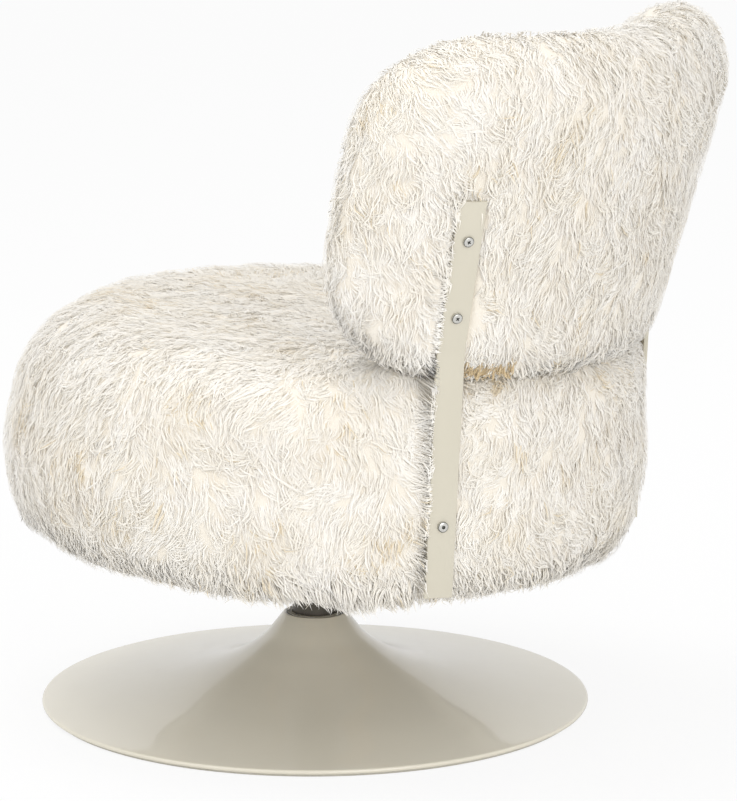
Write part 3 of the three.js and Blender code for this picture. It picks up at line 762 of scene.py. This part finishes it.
def normals_of(piece):
    """The directions in which a piece's corners face, one row each."""
    flat = np.empty(3 * len(piece.data.vertices))
    piece.data.vertex_normals.foreach_get("vector", flat)
    return flat.reshape(-1, 3)


def skin_of(body):
    """A body's surface, to ask for the nearest place on it."""
    mesh = body.data
    faces = [tuple(face.vertices) for face in mesh.polygons]
    return BVHTree.FromPolygons([vertex.co for vertex in mesh.vertices], faces)


def stuffed(name, nodes):
    """One closed body round the foam and wood of some nodes, its loose faces joined first."""
    copies = []
    for node in nodes:
        copy = bpy.data.objects.new(node + "_copy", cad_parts[node].data.copy())
        scene.collection.objects.link(copy)
        copies.append(copy)
    bpy.ops.object.select_all(action="DESELECT")
    for copy in copies:
        copy.select_set(True)
    bpy.context.view_layer.objects.active = copies[0]
    bpy.ops.object.join()
    body = bpy.context.object
    body.name = name
    bpy.ops.object.mode_set(mode="EDIT")
    bpy.ops.mesh.select_all(action="SELECT")
    bpy.ops.mesh.remove_doubles(threshold=WELD)
    bpy.ops.object.mode_set(mode="OBJECT")
    apply(body, "REMESH", mode="VOXEL", voxel_size=VOXEL, adaptivity=0.0)
    apply(body, "SMOOTH", factor=0.6, iterations=SMOOTH_ROUNDS)
    return body


def swell(body, fixed):
    """Blows a body up from inside as its filling does, each point by no more than the cap."""
    start = points_of(body)
    held = body.vertex_groups.new(name="held")
    held.add([int(i) for i in np.flatnonzero(fixed)], 1.0, "REPLACE")
    cloth = body.modifiers.new("filling", "CLOTH")
    cloth.settings.quality = 4
    cloth.settings.mass = CLOTH_MASS
    cloth.settings.vertex_group_mass = "held"
    cloth.settings.use_pressure = True
    cloth.settings.uniform_pressure_force = SWELL_PRESSURE
    cloth.settings.effector_weights.gravity = 0.0
    cloth.point_cache.frame_start = 1
    cloth.point_cache.frame_end = SWELL_FRAMES
    for number in range(1, SWELL_FRAMES + 1):
        scene.frame_set(number)
    swollen = body.evaluated_get(bpy.context.evaluated_depsgraph_get())
    move = points_of(swollen) - start
    body.modifiers.remove(cloth)
    body.vertex_groups.remove(held)
    scene.frame_set(1)
    reach = np.linalg.norm(move, axis=1)[:, None]
    capped = start + move * np.minimum(1.0, SWELL_CAP / np.maximum(reach, 1e-9))
    body.data.vertices.foreach_set("co", capped.ravel())
    body.data.update()


hide = hide_finish()
seat_frame = seat_place.inverted()


def local_places(places):
    """Places in the seat's own frame, which leans back with the seat."""
    turn = np.array(seat_frame)
    return places @ turn[:3, :3].T + turn[:3, 3]


def in_strap(side, places):
    """Places in a strap's own frame, and the matrix that brings them back."""
    turn = np.array(strap_place(side).inverted())
    return places @ turn[:3, :3].T + turn[:3, 3], np.array(strap_place(side))


def face_at(up):
    """How far a strap's front face leans out at a height along it."""
    return np.maximum(up - STRAP_BEND, 0) * math.tan(STRAP_LEAN)


def pressed(places):
    """Places held back behind both straps, with a soft edge beside each bar."""
    for side in (1, -1):
        local, place = in_strap(side, places)
        out, aside, up = local[:, 0], np.abs(local[:, 1]), local[:, 2]
        past_side = np.maximum(aside - STRAP_WIDTH / 2 - PRESSED_EDGE, 0)
        past_end = np.maximum(STRAP_FOOT - PRESSED_EDGE - up, up - STRAP_TOP - PRESSED_EDGE)
        past = np.hypot(past_side, np.maximum(past_end, 0))
        groove = np.where(past > 0, 0.9 * past - PRESSED_LIP, -STRAP_THICKNESS - PRESSED_ROOM)
        reach = face_at(up) + groove
        held = (out > reach) & (out < face_at(up) + PRESSED_DEPTH)
        local[held, 0] = reach[held]
        places = local @ place[:3, :3].T + place[:3, 3]
    return places


def unit(rows):
    """Each row cut to length one."""
    return rows / np.maximum(np.linalg.norm(rows, axis=-1, keepdims=True), 1e-9)


def skyward(normals):
    """Shading normals that lean up, as pile scatters the light from above round a soft edge."""
    raised = normals.copy()
    lean = np.maximum(-0.1 - normals[:, 2], 0) + SKY_LEAN
    raised[:, 2] += lean * np.clip((normals[:, 2] + 0.97) / 0.2, 0, 1)
    return unit(raised)


def upholster(name, nodes, covers, depth_at):
    """A swollen body under its underwool, which stands for its foam and its cover."""
    body = stuffed(name, nodes)
    swell(body, local_places(points_of(body))[:, 2] < FLAT_UNDERSIDE)
    apply(body, "SMOOTH", factor=0.5, iterations=2)
    spots = points_of(body)
    places = local_places(spots)
    radius = np.hypot(places[:, 0], places[:, 1] - SEAT_SETBACK)
    woolly = (places[:, 2] > FLAT_UNDERSIDE) | (radius > TURNED_IN_RADIUS)
    group = body.vertex_groups.new(name="woolly")
    for number, share in enumerate(woolly * depth_at(spots, normals_of(body)) / UNDERWOOL):
        group.add([number], share, "REPLACE")
    apply(body, "DISPLACE", strength=UNDERWOOL, mid_level=0.0, vertex_group="woolly")
    apply(body, "SMOOTH", factor=0.5, iterations=3)
    laid = pressed(points_of(body))
    laid[~woolly] += BOARD_SHOWS * np.array(seat_place)[:3, 2]
    body.data.vertices.foreach_set("co", laid.ravel())
    body.data.update()
    apply(body, "SUBSURF", levels=1, render_levels=1)
    bpy.ops.object.shade_smooth()
    body = settle(name, hide, "seat")
    body.data.normals_split_custom_set_from_vertices(skyward(normals_of(body)))
    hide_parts(*covers)
    return body


def seat_depth(places, normals):
    """Deep on the top and the front, thinner under the lower edge, and banked up to the back."""
    gap = np.array([back_skin.find_nearest(Vector(place))[3] for place in places])
    bank = BANK_RISE * np.clip(1 - gap / BANK_WIDTH, 0, 1)
    bank *= np.clip((BANK_END - places[:, 1]) / BANK_FADE, 0, 1)
    under = np.clip(-normals[:, 2] * 1.4, 0, 1)
    edge = np.exp(-((normals[:, 2] + 0.62) / 0.25) ** 2)
    return (PILE_DEPTH + 0.005 * np.clip(normals[:, 2], 0, 1) - 0.002 * normals[:, 1]
            - 0.009 * under - 0.005 * edge + bank)


def back_depth(places, normals):
    """Deep on the front, the rim and the foot of the back, and thinner behind."""
    under = np.clip(-normals[:, 2], 0, 1)
    above = np.clip(normals[:, 2], 0, 1)
    return PILE_DEPTH + 0.004 * above + 0.0075 * under - 0.004 * normals[:, 1]


back_skin = skin_of(bpy.data.objects["back_cover"])
seat_hide = upholster(
    "seat_hide", ["seat_foam", "seat_hoop", "seat_board"], ["seat_cover", "seat_foam"], seat_depth,
)
back_hide = upholster(
    "back_hide", ["back_foam_front", "back_foam_rear", "back_shell"],
    ["back_cover", "back_foam_front", "back_foam_rear"], back_depth,
)


# Dust cover. Grey non-woven cloth stapled under the seat board, round the steel plate.
GREY_CLOTH = colour(126, 124, 118)
GREY_CLOTH_PALE = colour(144, 142, 136)
DUST_SAG = 0.0012
DUST_INNER = 0.1135
DUST_HEIGHT = 0.0045
DUST_THICKNESS = 0.0012


def dust_finish():
    """Spun cloth: matt grey with a fine pressed pattern."""
    finish = Finish("grey_cloth", rough=0.9)
    weave = finish.noise(900.0, 2.0, 0.6)
    return finish.follow(weave, GREY_CLOTH, GREY_CLOTH_PALE, relief=(0.0003, 0.5))


dust_outer = float(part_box("dust_cover")[1].x)
dust_top = DUST_HEIGHT + DUST_THICKNESS
turned([
    (dust_outer, DUST_HEIGHT), (dust_outer, dust_top), (DUST_INNER, dust_top),
    (DUST_INNER, DUST_HEIGHT), (DUST_INNER + 0.004, DUST_HEIGHT - DUST_SAG / 6),
    ((DUST_INNER + dust_outer) / 2, DUST_HEIGHT - DUST_SAG),
    (dust_outer - 0.006, DUST_HEIGHT - DUST_SAG / 3),
], RING_STEPS)
bpy.context.object.matrix_world = seat_place @ Matrix.Translation((0, SEAT_SETBACK, 0))
dust = settle("dust_cloth", dust_finish(), "seat", smooth=math.radians(50))
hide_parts("dust_cover")


# Wool. Long fine sheepskin pile, combed down the sides and swirled on the top and the back; each
# tuft is a lock of flat tapered fibres that leave the skin, lie over on it and draw together.
WOOL_LIGHT = colour(252, 249, 243)
WOOL_DEEP = colour(244, 237, 223)
WOOL_TAN = colour(238, 224, 194)
WOOL_BROWN = colour(214, 190, 148)
SHADES = 48
TAN_BELOW = 0.10
TAN_RARITY = 1.9
TAN_BIN = 3
FIBRES_A_TUFT = 15
FIBRE_HALF_WIDTH = 0.00068
FIBRE_RIDGE = 0.0003
FIBRE_STATIONS = np.array([0.0, 0.52, 1.0])
TUFT_RADIUS = 0.0095
TUFT_SPACING = 0.0093
TUFT_DRAW = 0.60
ROOT_DEPTH = 0.0022
LAID_HEIGHT = 0.0012
WISPS = 0.12
WISP_HEIGHT = 0.0065
FIBRE_ROLL = 0.15
PIECE_FIBRES = 32000
GUIDE_STATIONS = np.array([0.0, 1 / 3, 2 / 3, 1.0])
FIBRE_FACES = np.array([(0, 1, 2), (1, 4, 2), (0, 2, 3), (2, 4, 3), (0, 3, 1), (1, 3, 4)])
UNDERSIDES = 2
HIDDEN_DEPTH = 0.006
STRAY = 0.0014
SWIRL_BROAD, SWIRL_FINE = (0.50, 0.16), (0.42, 0.035)
CURL, CURL_SPREAD = 0.42, 0.022
DRAWN, DRAWN_REACH = 1.3, 0.035
BESIDE_OUT = 0.05
FEATHERED = 0.0045
FLEECE_LENGTH = 0.017
FLEECE_BODY = 1.5
FLEECE_CURL = 0.5
FLEECE_SWIRL = (1.2, 0.02)
FLEECE_REACH = 0.058
FLEECE_FOOT = 0.178
SEAM_FOOT, SEAM_TOP = 0.236, 0.251
SEAM_LENGTH, SEAM_GROWTH = 0.010, 1.1
SEAM_TONE = -0.2
ZONE_IN, ZONE_OUT = 0.03, 0.06
ZONE_FOOT, ZONE_TOP = 0.003, 0.002
ZONE_BEFORE = 0.008
ROOT_GAP, REAR_GAP = 0.0005, 0.0006
FEATHER_RANGE = (-1.4, 0.9)
FEATHER_WANDER = (0.5, 0.05)
FEATHER_ROOM, FEATHER_RISE = 0.004, 0.0008
LEAST_SHARE = 0.05
LENGTH_VARIES = (0.14, 0.06)
RIDGE_REACH = 0.014
TONE_MIDDLE, TONE_PATCH, TONE_TUFT, TONE_FIBRE = 0.62, (0.17, 0.09), 0.12, 0.16
TAN_PATCH, TAN_DROP = 0.035, 0.5


def wool_finish():
    """Wool: each fibre a cream of its own, deeper at its root (partly its own tone, partly painted
    shade of the deep pile), and a few strands of tan.
    """
    finish = Finish("sheep_wool", rough=0.62, Sheen_Weight=0.5, Sheen_Roughness=0.5)
    map_node = finish.node("ShaderNodeUVMap", {"uv_map": "OFBake"})
    parts = finish.node("ShaderNodeSeparateXYZ", None, {"Vector": map_node.tone("UV")})
    shade = ((parts.tone("X") * SHADES).floor() / (SHADES - 1)).clip()
    # Towards the root each fibre is drawn deeper: partly the wool's own tone, partly painted shade
    # for the depth of the pile.
    along = (0.45 + 0.8 * parts.tone("Y")).clip()
    cream = finish.blend(shade * along, WOOL_DEEP, WOOL_LIGHT)
    tan = ((TAN_BELOW - shade) * 20).clip()
    deep = (shade / TAN_BELOW).clip()
    finish.set("Base Color", finish.blend(tan, cream, finish.blend(deep, WOOL_BROWN, WOOL_TAN)))
    return finish.material


def ripple(places, wavelength, seed):
    """A smooth number, about -1 to 1, that wanders from place to place."""
    waves = np.random.default_rng(seed)
    total = np.zeros(len(places))
    for _ in range(7):
        way = waves.normal(size=3)
        way *= 2 * math.pi / (wavelength * waves.uniform(0.7, 1.5) * np.linalg.norm(way))
        total += np.sin(places @ way + waves.uniform(0, 2 * math.pi))
    return total / 2.2


def scattered(body, spacing, seed):
    """Places and normals over a body's skin, one to each small cell of space."""
    dice = np.random.default_rng(seed)
    mesh = body.data
    mesh.calc_loop_triangles()
    corners = np.empty(3 * len(mesh.loop_triangles), int)
    mesh.loop_triangles.foreach_get("vertices", corners)
    triangles = points_of(body)[corners.reshape(-1, 3)]
    first, second = triangles[:, 1] - triangles[:, 0], triangles[:, 2] - triangles[:, 0]
    cross = np.cross(first, second)
    areas = np.linalg.norm(cross, axis=1) / 2
    count = int(areas.sum() / spacing ** 2 * 6)
    picked = dice.choice(len(areas), count, p=areas / areas.sum())
    u, v = dice.random((2, count))
    flipped = u + v > 1
    u[flipped], v[flipped] = 1 - u[flipped], 1 - v[flipped]
    places = triangles[picked, 0] + u[:, None] * first[picked] + v[:, None] * second[picked]
    cells = np.floor(places / spacing).astype(int)
    _, kept = np.unique(cells, axis=0, return_index=True)
    kept = np.sort(kept)
    return places[kept], unit(cross[picked])[kept]


def nearest(skin, places):
    """The nearest places on a skin, with its normals there."""
    found = [skin.find_nearest(Vector(place)) for place in places]
    return np.array([hit[0] for hit in found]), np.array([hit[1] for hit in found])


def hidden_in(skin, places, depth):
    """Which places lie deeper than a depth inside another body, where no wool is needed."""
    hidden = []
    for place in map(Vector, places):
        gap = skin.find_nearest(place)[3]
        roof = skin.ray_cast(place, Vector((0, 0, 1)))[1]
        hidden.append(gap > depth and roof is not None and roof.z > 0)
    return np.array(hidden)


def turned_about(axes, rows, angles):
    """Rows turned about axes at right angles to them."""
    cosine, sine = np.cos(angles)[:, None], np.sin(angles)[:, None]
    return rows * cosine + np.cross(axes, rows) * sine


def guides(skin, places, normals, ways, lengths, curls, hang):
    """The middle line of each tuft, on the skin or hanging free: points, ways, sides, uprights."""
    spots, axes, heading = places, normals, ways
    line, headings, sides, uprights = [places], [ways], [np.cross(normals, ways)], [normals]
    free = hang[:, None]
    for station in range(1, len(GUIDE_STATIONS)):
        step = (lengths * (GUIDE_STATIONS[station] - GUIDE_STATIONS[station - 1]))[:, None]
        spots, axes = nearest(skin, spots + heading * step)
        heading = turned_about(axes, unit(heading - (heading * axes).sum(1)[:, None] * axes), curls)
        fallen = line[-1] + (down + 0.25 * headings[-1]) * step
        line.append(spots * (1 - free) + fallen * free)
        spots = line[-1]
        headings.append(heading)
        upright = unit(axes * (1 - free) + uprights[-1] * free)
        sides.append(np.cross(upright, heading))
        uprights.append(upright)
    return np.stack(line, 1), np.stack(headings, 1), np.stack(sides, 1), np.stack(uprights, 1)


def along_line(line, stations):
    """Points of four-point curves at their own stations, by the cubic through the four."""
    weights = []
    for i, knot in enumerate(GUIDE_STATIONS):
        others = np.delete(GUIDE_STATIONS, i)
        weights.append(np.prod([(stations - other) / (knot - other) for other in others], axis=0))
    return np.einsum("kns,nkx->nsx", np.stack(weights), line)


def fibres(line, headings, sides, uprights, seed):
    """The fibres of every tuft: the root, middle and tip of each, and its tuft."""
    dice = np.random.default_rng(seed)
    tufts = np.repeat(np.arange(len(line)), FIBRES_A_TUFT)
    count = len(tufts)
    angle = dice.uniform(0, 2 * math.pi, count)
    out = TUFT_RADIUS * np.sqrt(dice.random(count))
    ahead, aside = out * np.cos(angle), out * np.sin(angle)
    stations = FIBRE_STATIONS[None, :] * dice.uniform(0.66, 1.12, count)[:, None]
    middle = along_line(line[tufts], stations)
    draw = (1 - TUFT_DRAW * FIBRE_STATIONS)[None, :, None]
    knots = np.array([0, 2, 3])
    heading, side, upright = (rows[:, knots][tufts] for rows in (headings, sides, uprights))
    spread = ahead[:, None, None] * heading + aside[:, None, None] * side
    laid = LAID_HEIGHT * dice.uniform(0.25, 1.0, count)
    wispy = dice.random(count) < WISPS
    end = np.where(wispy, WISP_HEIGHT * dice.uniform(0.5, 1.0, count), 0.35 * laid)
    lift = np.stack([np.full(count, -ROOT_DEPTH), np.maximum(laid, 0.8 * end), end], axis=1)
    stray = dice.normal(0, STRAY, (count, 1, 1)) * (FIBRE_STATIONS ** 1.5)[None, :, None] * side
    return middle + spread * draw + lift[:, :, None] * upright + stray, tufts


def wool_mesh(name, lines, shades, widths, uprights):
    """Flat fibres with a low ridge, pointed at both ends, with a map of shade and length."""
    count = len(lines)
    across = unit(np.cross(uprights, lines[:, 2] - lines[:, 0]))
    points, facing = np.empty((2, count, 5, 3))
    points[:, (0, 4)] = lines[:, (0, 2)]
    facing[:] = skyward(uprights)[:, None]
    for corner, way in ((1, 1), (2, -1)):
        points[:, corner] = lines[:, 1] + way * across * widths[:, None]
        facing[:, corner] += way * FIBRE_ROLL * across
    points[:, 3] = lines[:, 1] + uprights * FIBRE_RIDGE
    index = (FIBRE_FACES[None] + 5 * np.arange(count)[:, None, None]).reshape(-1)
    aside = np.array([0.5, 0.9, 0.1, 0.5, 0.5])[FIBRE_FACES].reshape(-1)
    length = FIBRE_STATIONS[[0, 1, 1, 1, 2]][FIBRE_FACES].reshape(-1)
    u = (shades[:, None] + aside[None, :]) / SHADES
    v = np.broadcast_to(0.01 + 0.98 * length, u.shape)
    mesh = bpy.data.meshes.new(name)
    mesh.vertices.add(5 * count)
    mesh.vertices.foreach_set("co", points.reshape(-1).astype(np.float32))
    mesh.loops.add(len(index))
    mesh.loops.foreach_set("vertex_index", index.astype(np.int32))
    mesh.polygons.add(len(index) // 3)
    mesh.polygons.foreach_set("loop_start", np.arange(0, len(index), 3, dtype=np.int32))
    mesh.polygons.foreach_set("use_smooth", np.ones(len(index) // 3, bool))
    uv_map = mesh.uv_layers.new(name="OFBake")
    uv_map.data.foreach_set("uv", np.stack([u, v], -1).reshape(-1).astype(np.float32))
    mesh.update()
    facing = unit(facing)[:, FIBRE_FACES]
    facing[:, :UNDERSIDES] *= -1
    mesh.normals_split_custom_set(facing.reshape(-1, 3))
    piece = bpy.data.objects.new(name, mesh)
    scene.collection.objects.link(piece)
    return piece


def by_straps(places):
    """Places out of the nearer strap's face, to its rear and up it, and its rearward way."""
    seen, rearward = np.empty((2, len(places), 3))
    for side in (1, -1):
        near = places[:, 0] * side > 0
        local, place = in_strap(side, places[near])
        local[:, 0] -= face_at(local[:, 2])
        local[:, 1] *= side
        seen[near] = local
        rearward[near] = side * place[:3, 1]
    return seen[:, 0], seen[:, 1], seen[:, 2], rearward


def laid_beside(lines, seed):
    """Fibres cut short at a strap, though tips feather over its front edge, and which stay."""
    wander = FEATHER_WANDER[0] * ripple(lines[:, 0], FEATHER_WANDER[1], seed)[:, None]
    reach = np.random.default_rng(seed).uniform(*FEATHER_RANGE, (len(lines), 1)) + wander
    reach *= FEATHERED
    half = STRAP_WIDTH / 2
    kept = np.ones(len(lines), bool)
    for side in (1, -1):
        local, place = in_strap(side, lines)
        out, aside, up = local[..., 0], local[..., 1] * side, local[..., 2]
        face = face_at(up)
        beside = (up > STRAP_FOOT - ZONE_FOOT) & (up < STRAP_TOP + ZONE_TOP)
        beside &= (out > face - ZONE_IN) & (out < face + ZONE_OUT)
        kept &= ~(beside[:, 0] & (np.abs(aside[:, 0]) < half + ROOT_GAP))
        root = aside[:, :1]
        ahead = root < 0
        limit = np.where(ahead, reach - half, half + REAR_GAP)
        far = np.where(ahead, np.where(beside, aside, root).max(1, keepdims=True),
                       np.where(beside, aside, root).min(1, keepdims=True))
        crossing = np.where(ahead, far > limit, far < limit) & (far != root)
        run = np.where(crossing, far - root, 1)
        share = np.where(crossing, np.clip((limit - root) / run, LEAST_SHARE, 1), 1)
        local = local[:, :1] + (local - local[:, :1]) * share[:, :, None]
        out, aside, up = local[..., 0], local[..., 1] * side, local[..., 2]
        over = face_at(up) + FEATHER_RISE
        lifted = beside & crossing & ahead & (aside > -half - FEATHER_ROOM)
        lifted[:, 0] = False
        local[..., 0] = np.where(lifted, np.maximum(out, over), out)
        face = over - FEATHER_RISE
        before = (out > face - ZONE_BEFORE) & (out < face + ZONE_OUT)
        before &= (up > STRAP_FOOT) & (up < STRAP_TOP)
        kept &= ~(before & (np.abs(aside) < half - FEATHERED)).any(1)
        lines = local @ place[:3, :3].T + place[:3, 3]
    return lines, kept


def grow(prefix, body, other, wanted, way_at, length_at, hang_at, seed):
    """Wool over a body: tufts where it is wanted, and pieces small enough to handle."""
    places, normals = scattered(body, TUFT_SPACING, seed)
    kept = wanted(places, normals) & ~hidden_in(skin_of(other), places, HIDDEN_DEPTH)
    places, normals = places[kept], normals[kept]
    ways = way_at(places, normals)
    ways = unit(ways - (ways * normals).sum(1)[:, None] * normals)
    swirl = SWIRL_BROAD[0] * ripple(places, SWIRL_BROAD[1], seed + 1)
    swirl += SWIRL_FINE[0] * ripple(places, SWIRL_FINE[1], seed + 2)
    out, rear, up, rearward = by_straps(places)
    beside = (np.abs(out) < BESIDE_OUT) & (up > 0) & (up < STRAP_TOP)
    drawn = DRAWN * np.exp(-((rear + STRAP_WIDTH / 2) / DRAWN_REACH) ** 2)
    drawn = np.where(beside & (rear < 0), drawn, 0)
    ways = ways + drawn[:, None] * rearward
    behind = beside & (rear > STRAP_WIDTH / 2) & (rear < STRAP_WIDTH / 2 + FLEECE_REACH)
    fleece = behind & (up > FLEECE_FOOT) & (up < SEAM_TOP)
    seam = behind & (up > SEAM_FOOT) & (up < SEAM_TOP)
    bulk = fleece & ~seam
    swirl = np.where(bulk, FLEECE_SWIRL[0] * ripple(places, FLEECE_SWIRL[1], seed + 9), swirl)
    ways = turned_about(normals, unit(ways - (ways * normals).sum(1)[:, None] * normals), swirl)
    varied = LENGTH_VARIES[0] * ripple(places, LENGTH_VARIES[1], seed + 3)
    lengths = length_at(places, normals) * (1 + varied)
    lengths = np.where(fleece, FLEECE_LENGTH, lengths)
    above_seam = behind & (up >= SEAM_TOP)
    most = SEAM_LENGTH + (up - SEAM_TOP) * SEAM_GROWTH
    lengths = np.where(above_seam, np.minimum(lengths, most), lengths)
    curls = np.where(bulk, FLEECE_CURL, CURL) * ripple(places, CURL_SPREAD, seed + 4)
    line, headings, sides, uprights = guides(
        skin_of(body), places, normals, ways, lengths, curls, hang_at(places, normals),
    )
    lines, tufts = fibres(line, headings, sides, uprights, seed + 5)
    past = np.maximum(np.abs(rear) - STRAP_WIDTH / 2, 0)
    near = beside * np.exp(-(past / RIDGE_REACH) ** 2)
    facing = uprights[:, 2]
    facing = unit(facing - (near * (facing * rearward).sum(1))[:, None] * rearward)
    dice = np.random.default_rng(seed + 6)
    tuft_tone = TONE_MIDDLE + TONE_PATCH[0] * ripple(places, TONE_PATCH[1], seed + 7)
    tuft_tone = tuft_tone + dice.normal(0, TONE_TUFT, len(places))
    tuft_tone -= np.where(ripple(places, TAN_PATCH, seed + 8) > TAN_RARITY, TAN_DROP, 0.0)
    tuft_tone = np.where(seam, SEAM_TONE, tuft_tone)
    tone = tuft_tone[tufts] + dice.normal(0, TONE_FIBRE, len(tufts))
    shades = np.clip(np.floor(tone * SHADES), np.where(seam, 0, TAN_BIN)[tufts], SHADES - 1)
    widths = FIBRE_HALF_WIDTH * dice.uniform(0.7, 1.3, len(tufts))
    widths = widths * np.where(bulk, FLEECE_BODY, 1)[tufts]
    lines, clear = laid_beside(lines, seed + 10)
    lines, shades, widths, tufts = lines[clear], shades[clear], widths[clear], tufts[clear]
    order = np.argsort(np.arctan2(lines[:, 0, 1], lines[:, 0, 0]), kind="stable")
    groups = np.array_split(order, math.ceil(len(order) / PIECE_FIBRES))
    for number, group in enumerate(groups, 1):
        piece = wool_mesh(
            f"{prefix}_{number}", lines[group], shades[group], widths[group], facing[tufts[group]],
        )
        piece.data.materials.append(wool)
        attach(piece, "seat")


wool = wool_finish()
axis_place = seat_place @ Vector((0, SEAT_SETBACK, 0))
down = np.array([0.0, 0.0, -1.0])


def outwards(places, parting=0.0):
    """Level ways out from the seat's middle, or from a parting farther back."""
    away = places - np.array(axis_place) - np.array([0.0, parting, 0.0])
    away[:, 2] = 0
    return unit(away)


TOP_PARTING = 0.20
UNDER_EDGE = 0.02
SEAT_PILE, BACK_PILE = 0.034, 0.030
BACK_FALL = 0.012
FRINGE_WAY = np.array([0.829, 0.559, 0.0])
FRINGE_GAIN = 0.009


def seat_way(places, normals):
    """Down the sides, outwards over the top and inwards underneath."""
    return down + outwards(places, TOP_PARTING) * 0.8 * normals[:, 2:]


def fringed(places):
    """Where the fringe under the seat is fullest, at the sitter's left rear."""
    return np.exp(-np.clip((1 - outwards(places) @ FRINGE_WAY) / 0.03, 0, 9))


def seat_length(places, normals):
    """Long on the sides and the top, clipped shorter underneath."""
    under = np.clip(-normals[:, 2] * 1.4 - 0.2, 0, 1)
    return SEAT_PILE * (1 - 0.42 * under) + FRINGE_GAIN * under * fringed(places)


def seat_hang(places, normals):
    """The lowest tufts of the side leave the skin and hang below the seat as a fringe."""
    low = np.clip((-normals[:, 2] - 0.2) / 0.3, 0, 1)
    return (0.55 + 0.3 * fringed(places)) * low * np.clip((1.0 + normals[:, 2]) / 0.2, 0, 1)


def seat_wanted(places, normals):
    """Everywhere but on the board's bare middle, under the hide's turned-in edge."""
    local = local_places(places)
    radius = np.hypot(local[:, 0], local[:, 1] - SEAT_SETBACK)
    return ~((local[:, 2] < UNDER_EDGE) & (radius < TURNED_IN_RADIUS))


def back_way(places, normals):
    """Down both faces, and over the top from the front to the rear."""
    return down + outwards(places) * 0.7 * np.maximum(normals[:, 2:], -0.3)


def back_length(places, normals):
    """A little shorter than on the seat, but longer where it falls over the seat."""
    return BACK_PILE + BACK_FALL * np.clip((-normals[:, 2] - 0.2) / 0.4, 0, 1)


def back_hang(places, normals):
    """The lowest tufts hang a little over the seat."""
    return 0.15 * np.clip((-normals[:, 2] - 0.3) / 0.4, 0, 1)


def back_wanted(places, normals):
    """Everywhere but deep under the back, where it sits on the seat."""
    return normals[:, 2] > -0.93


grow("seat_wool", seat_hide, back_hide, seat_wanted, seat_way, seat_length, seat_hang, 11)
grow("back_wool", back_hide, seat_hide, back_wanted, back_way, back_length, back_hang, 31)
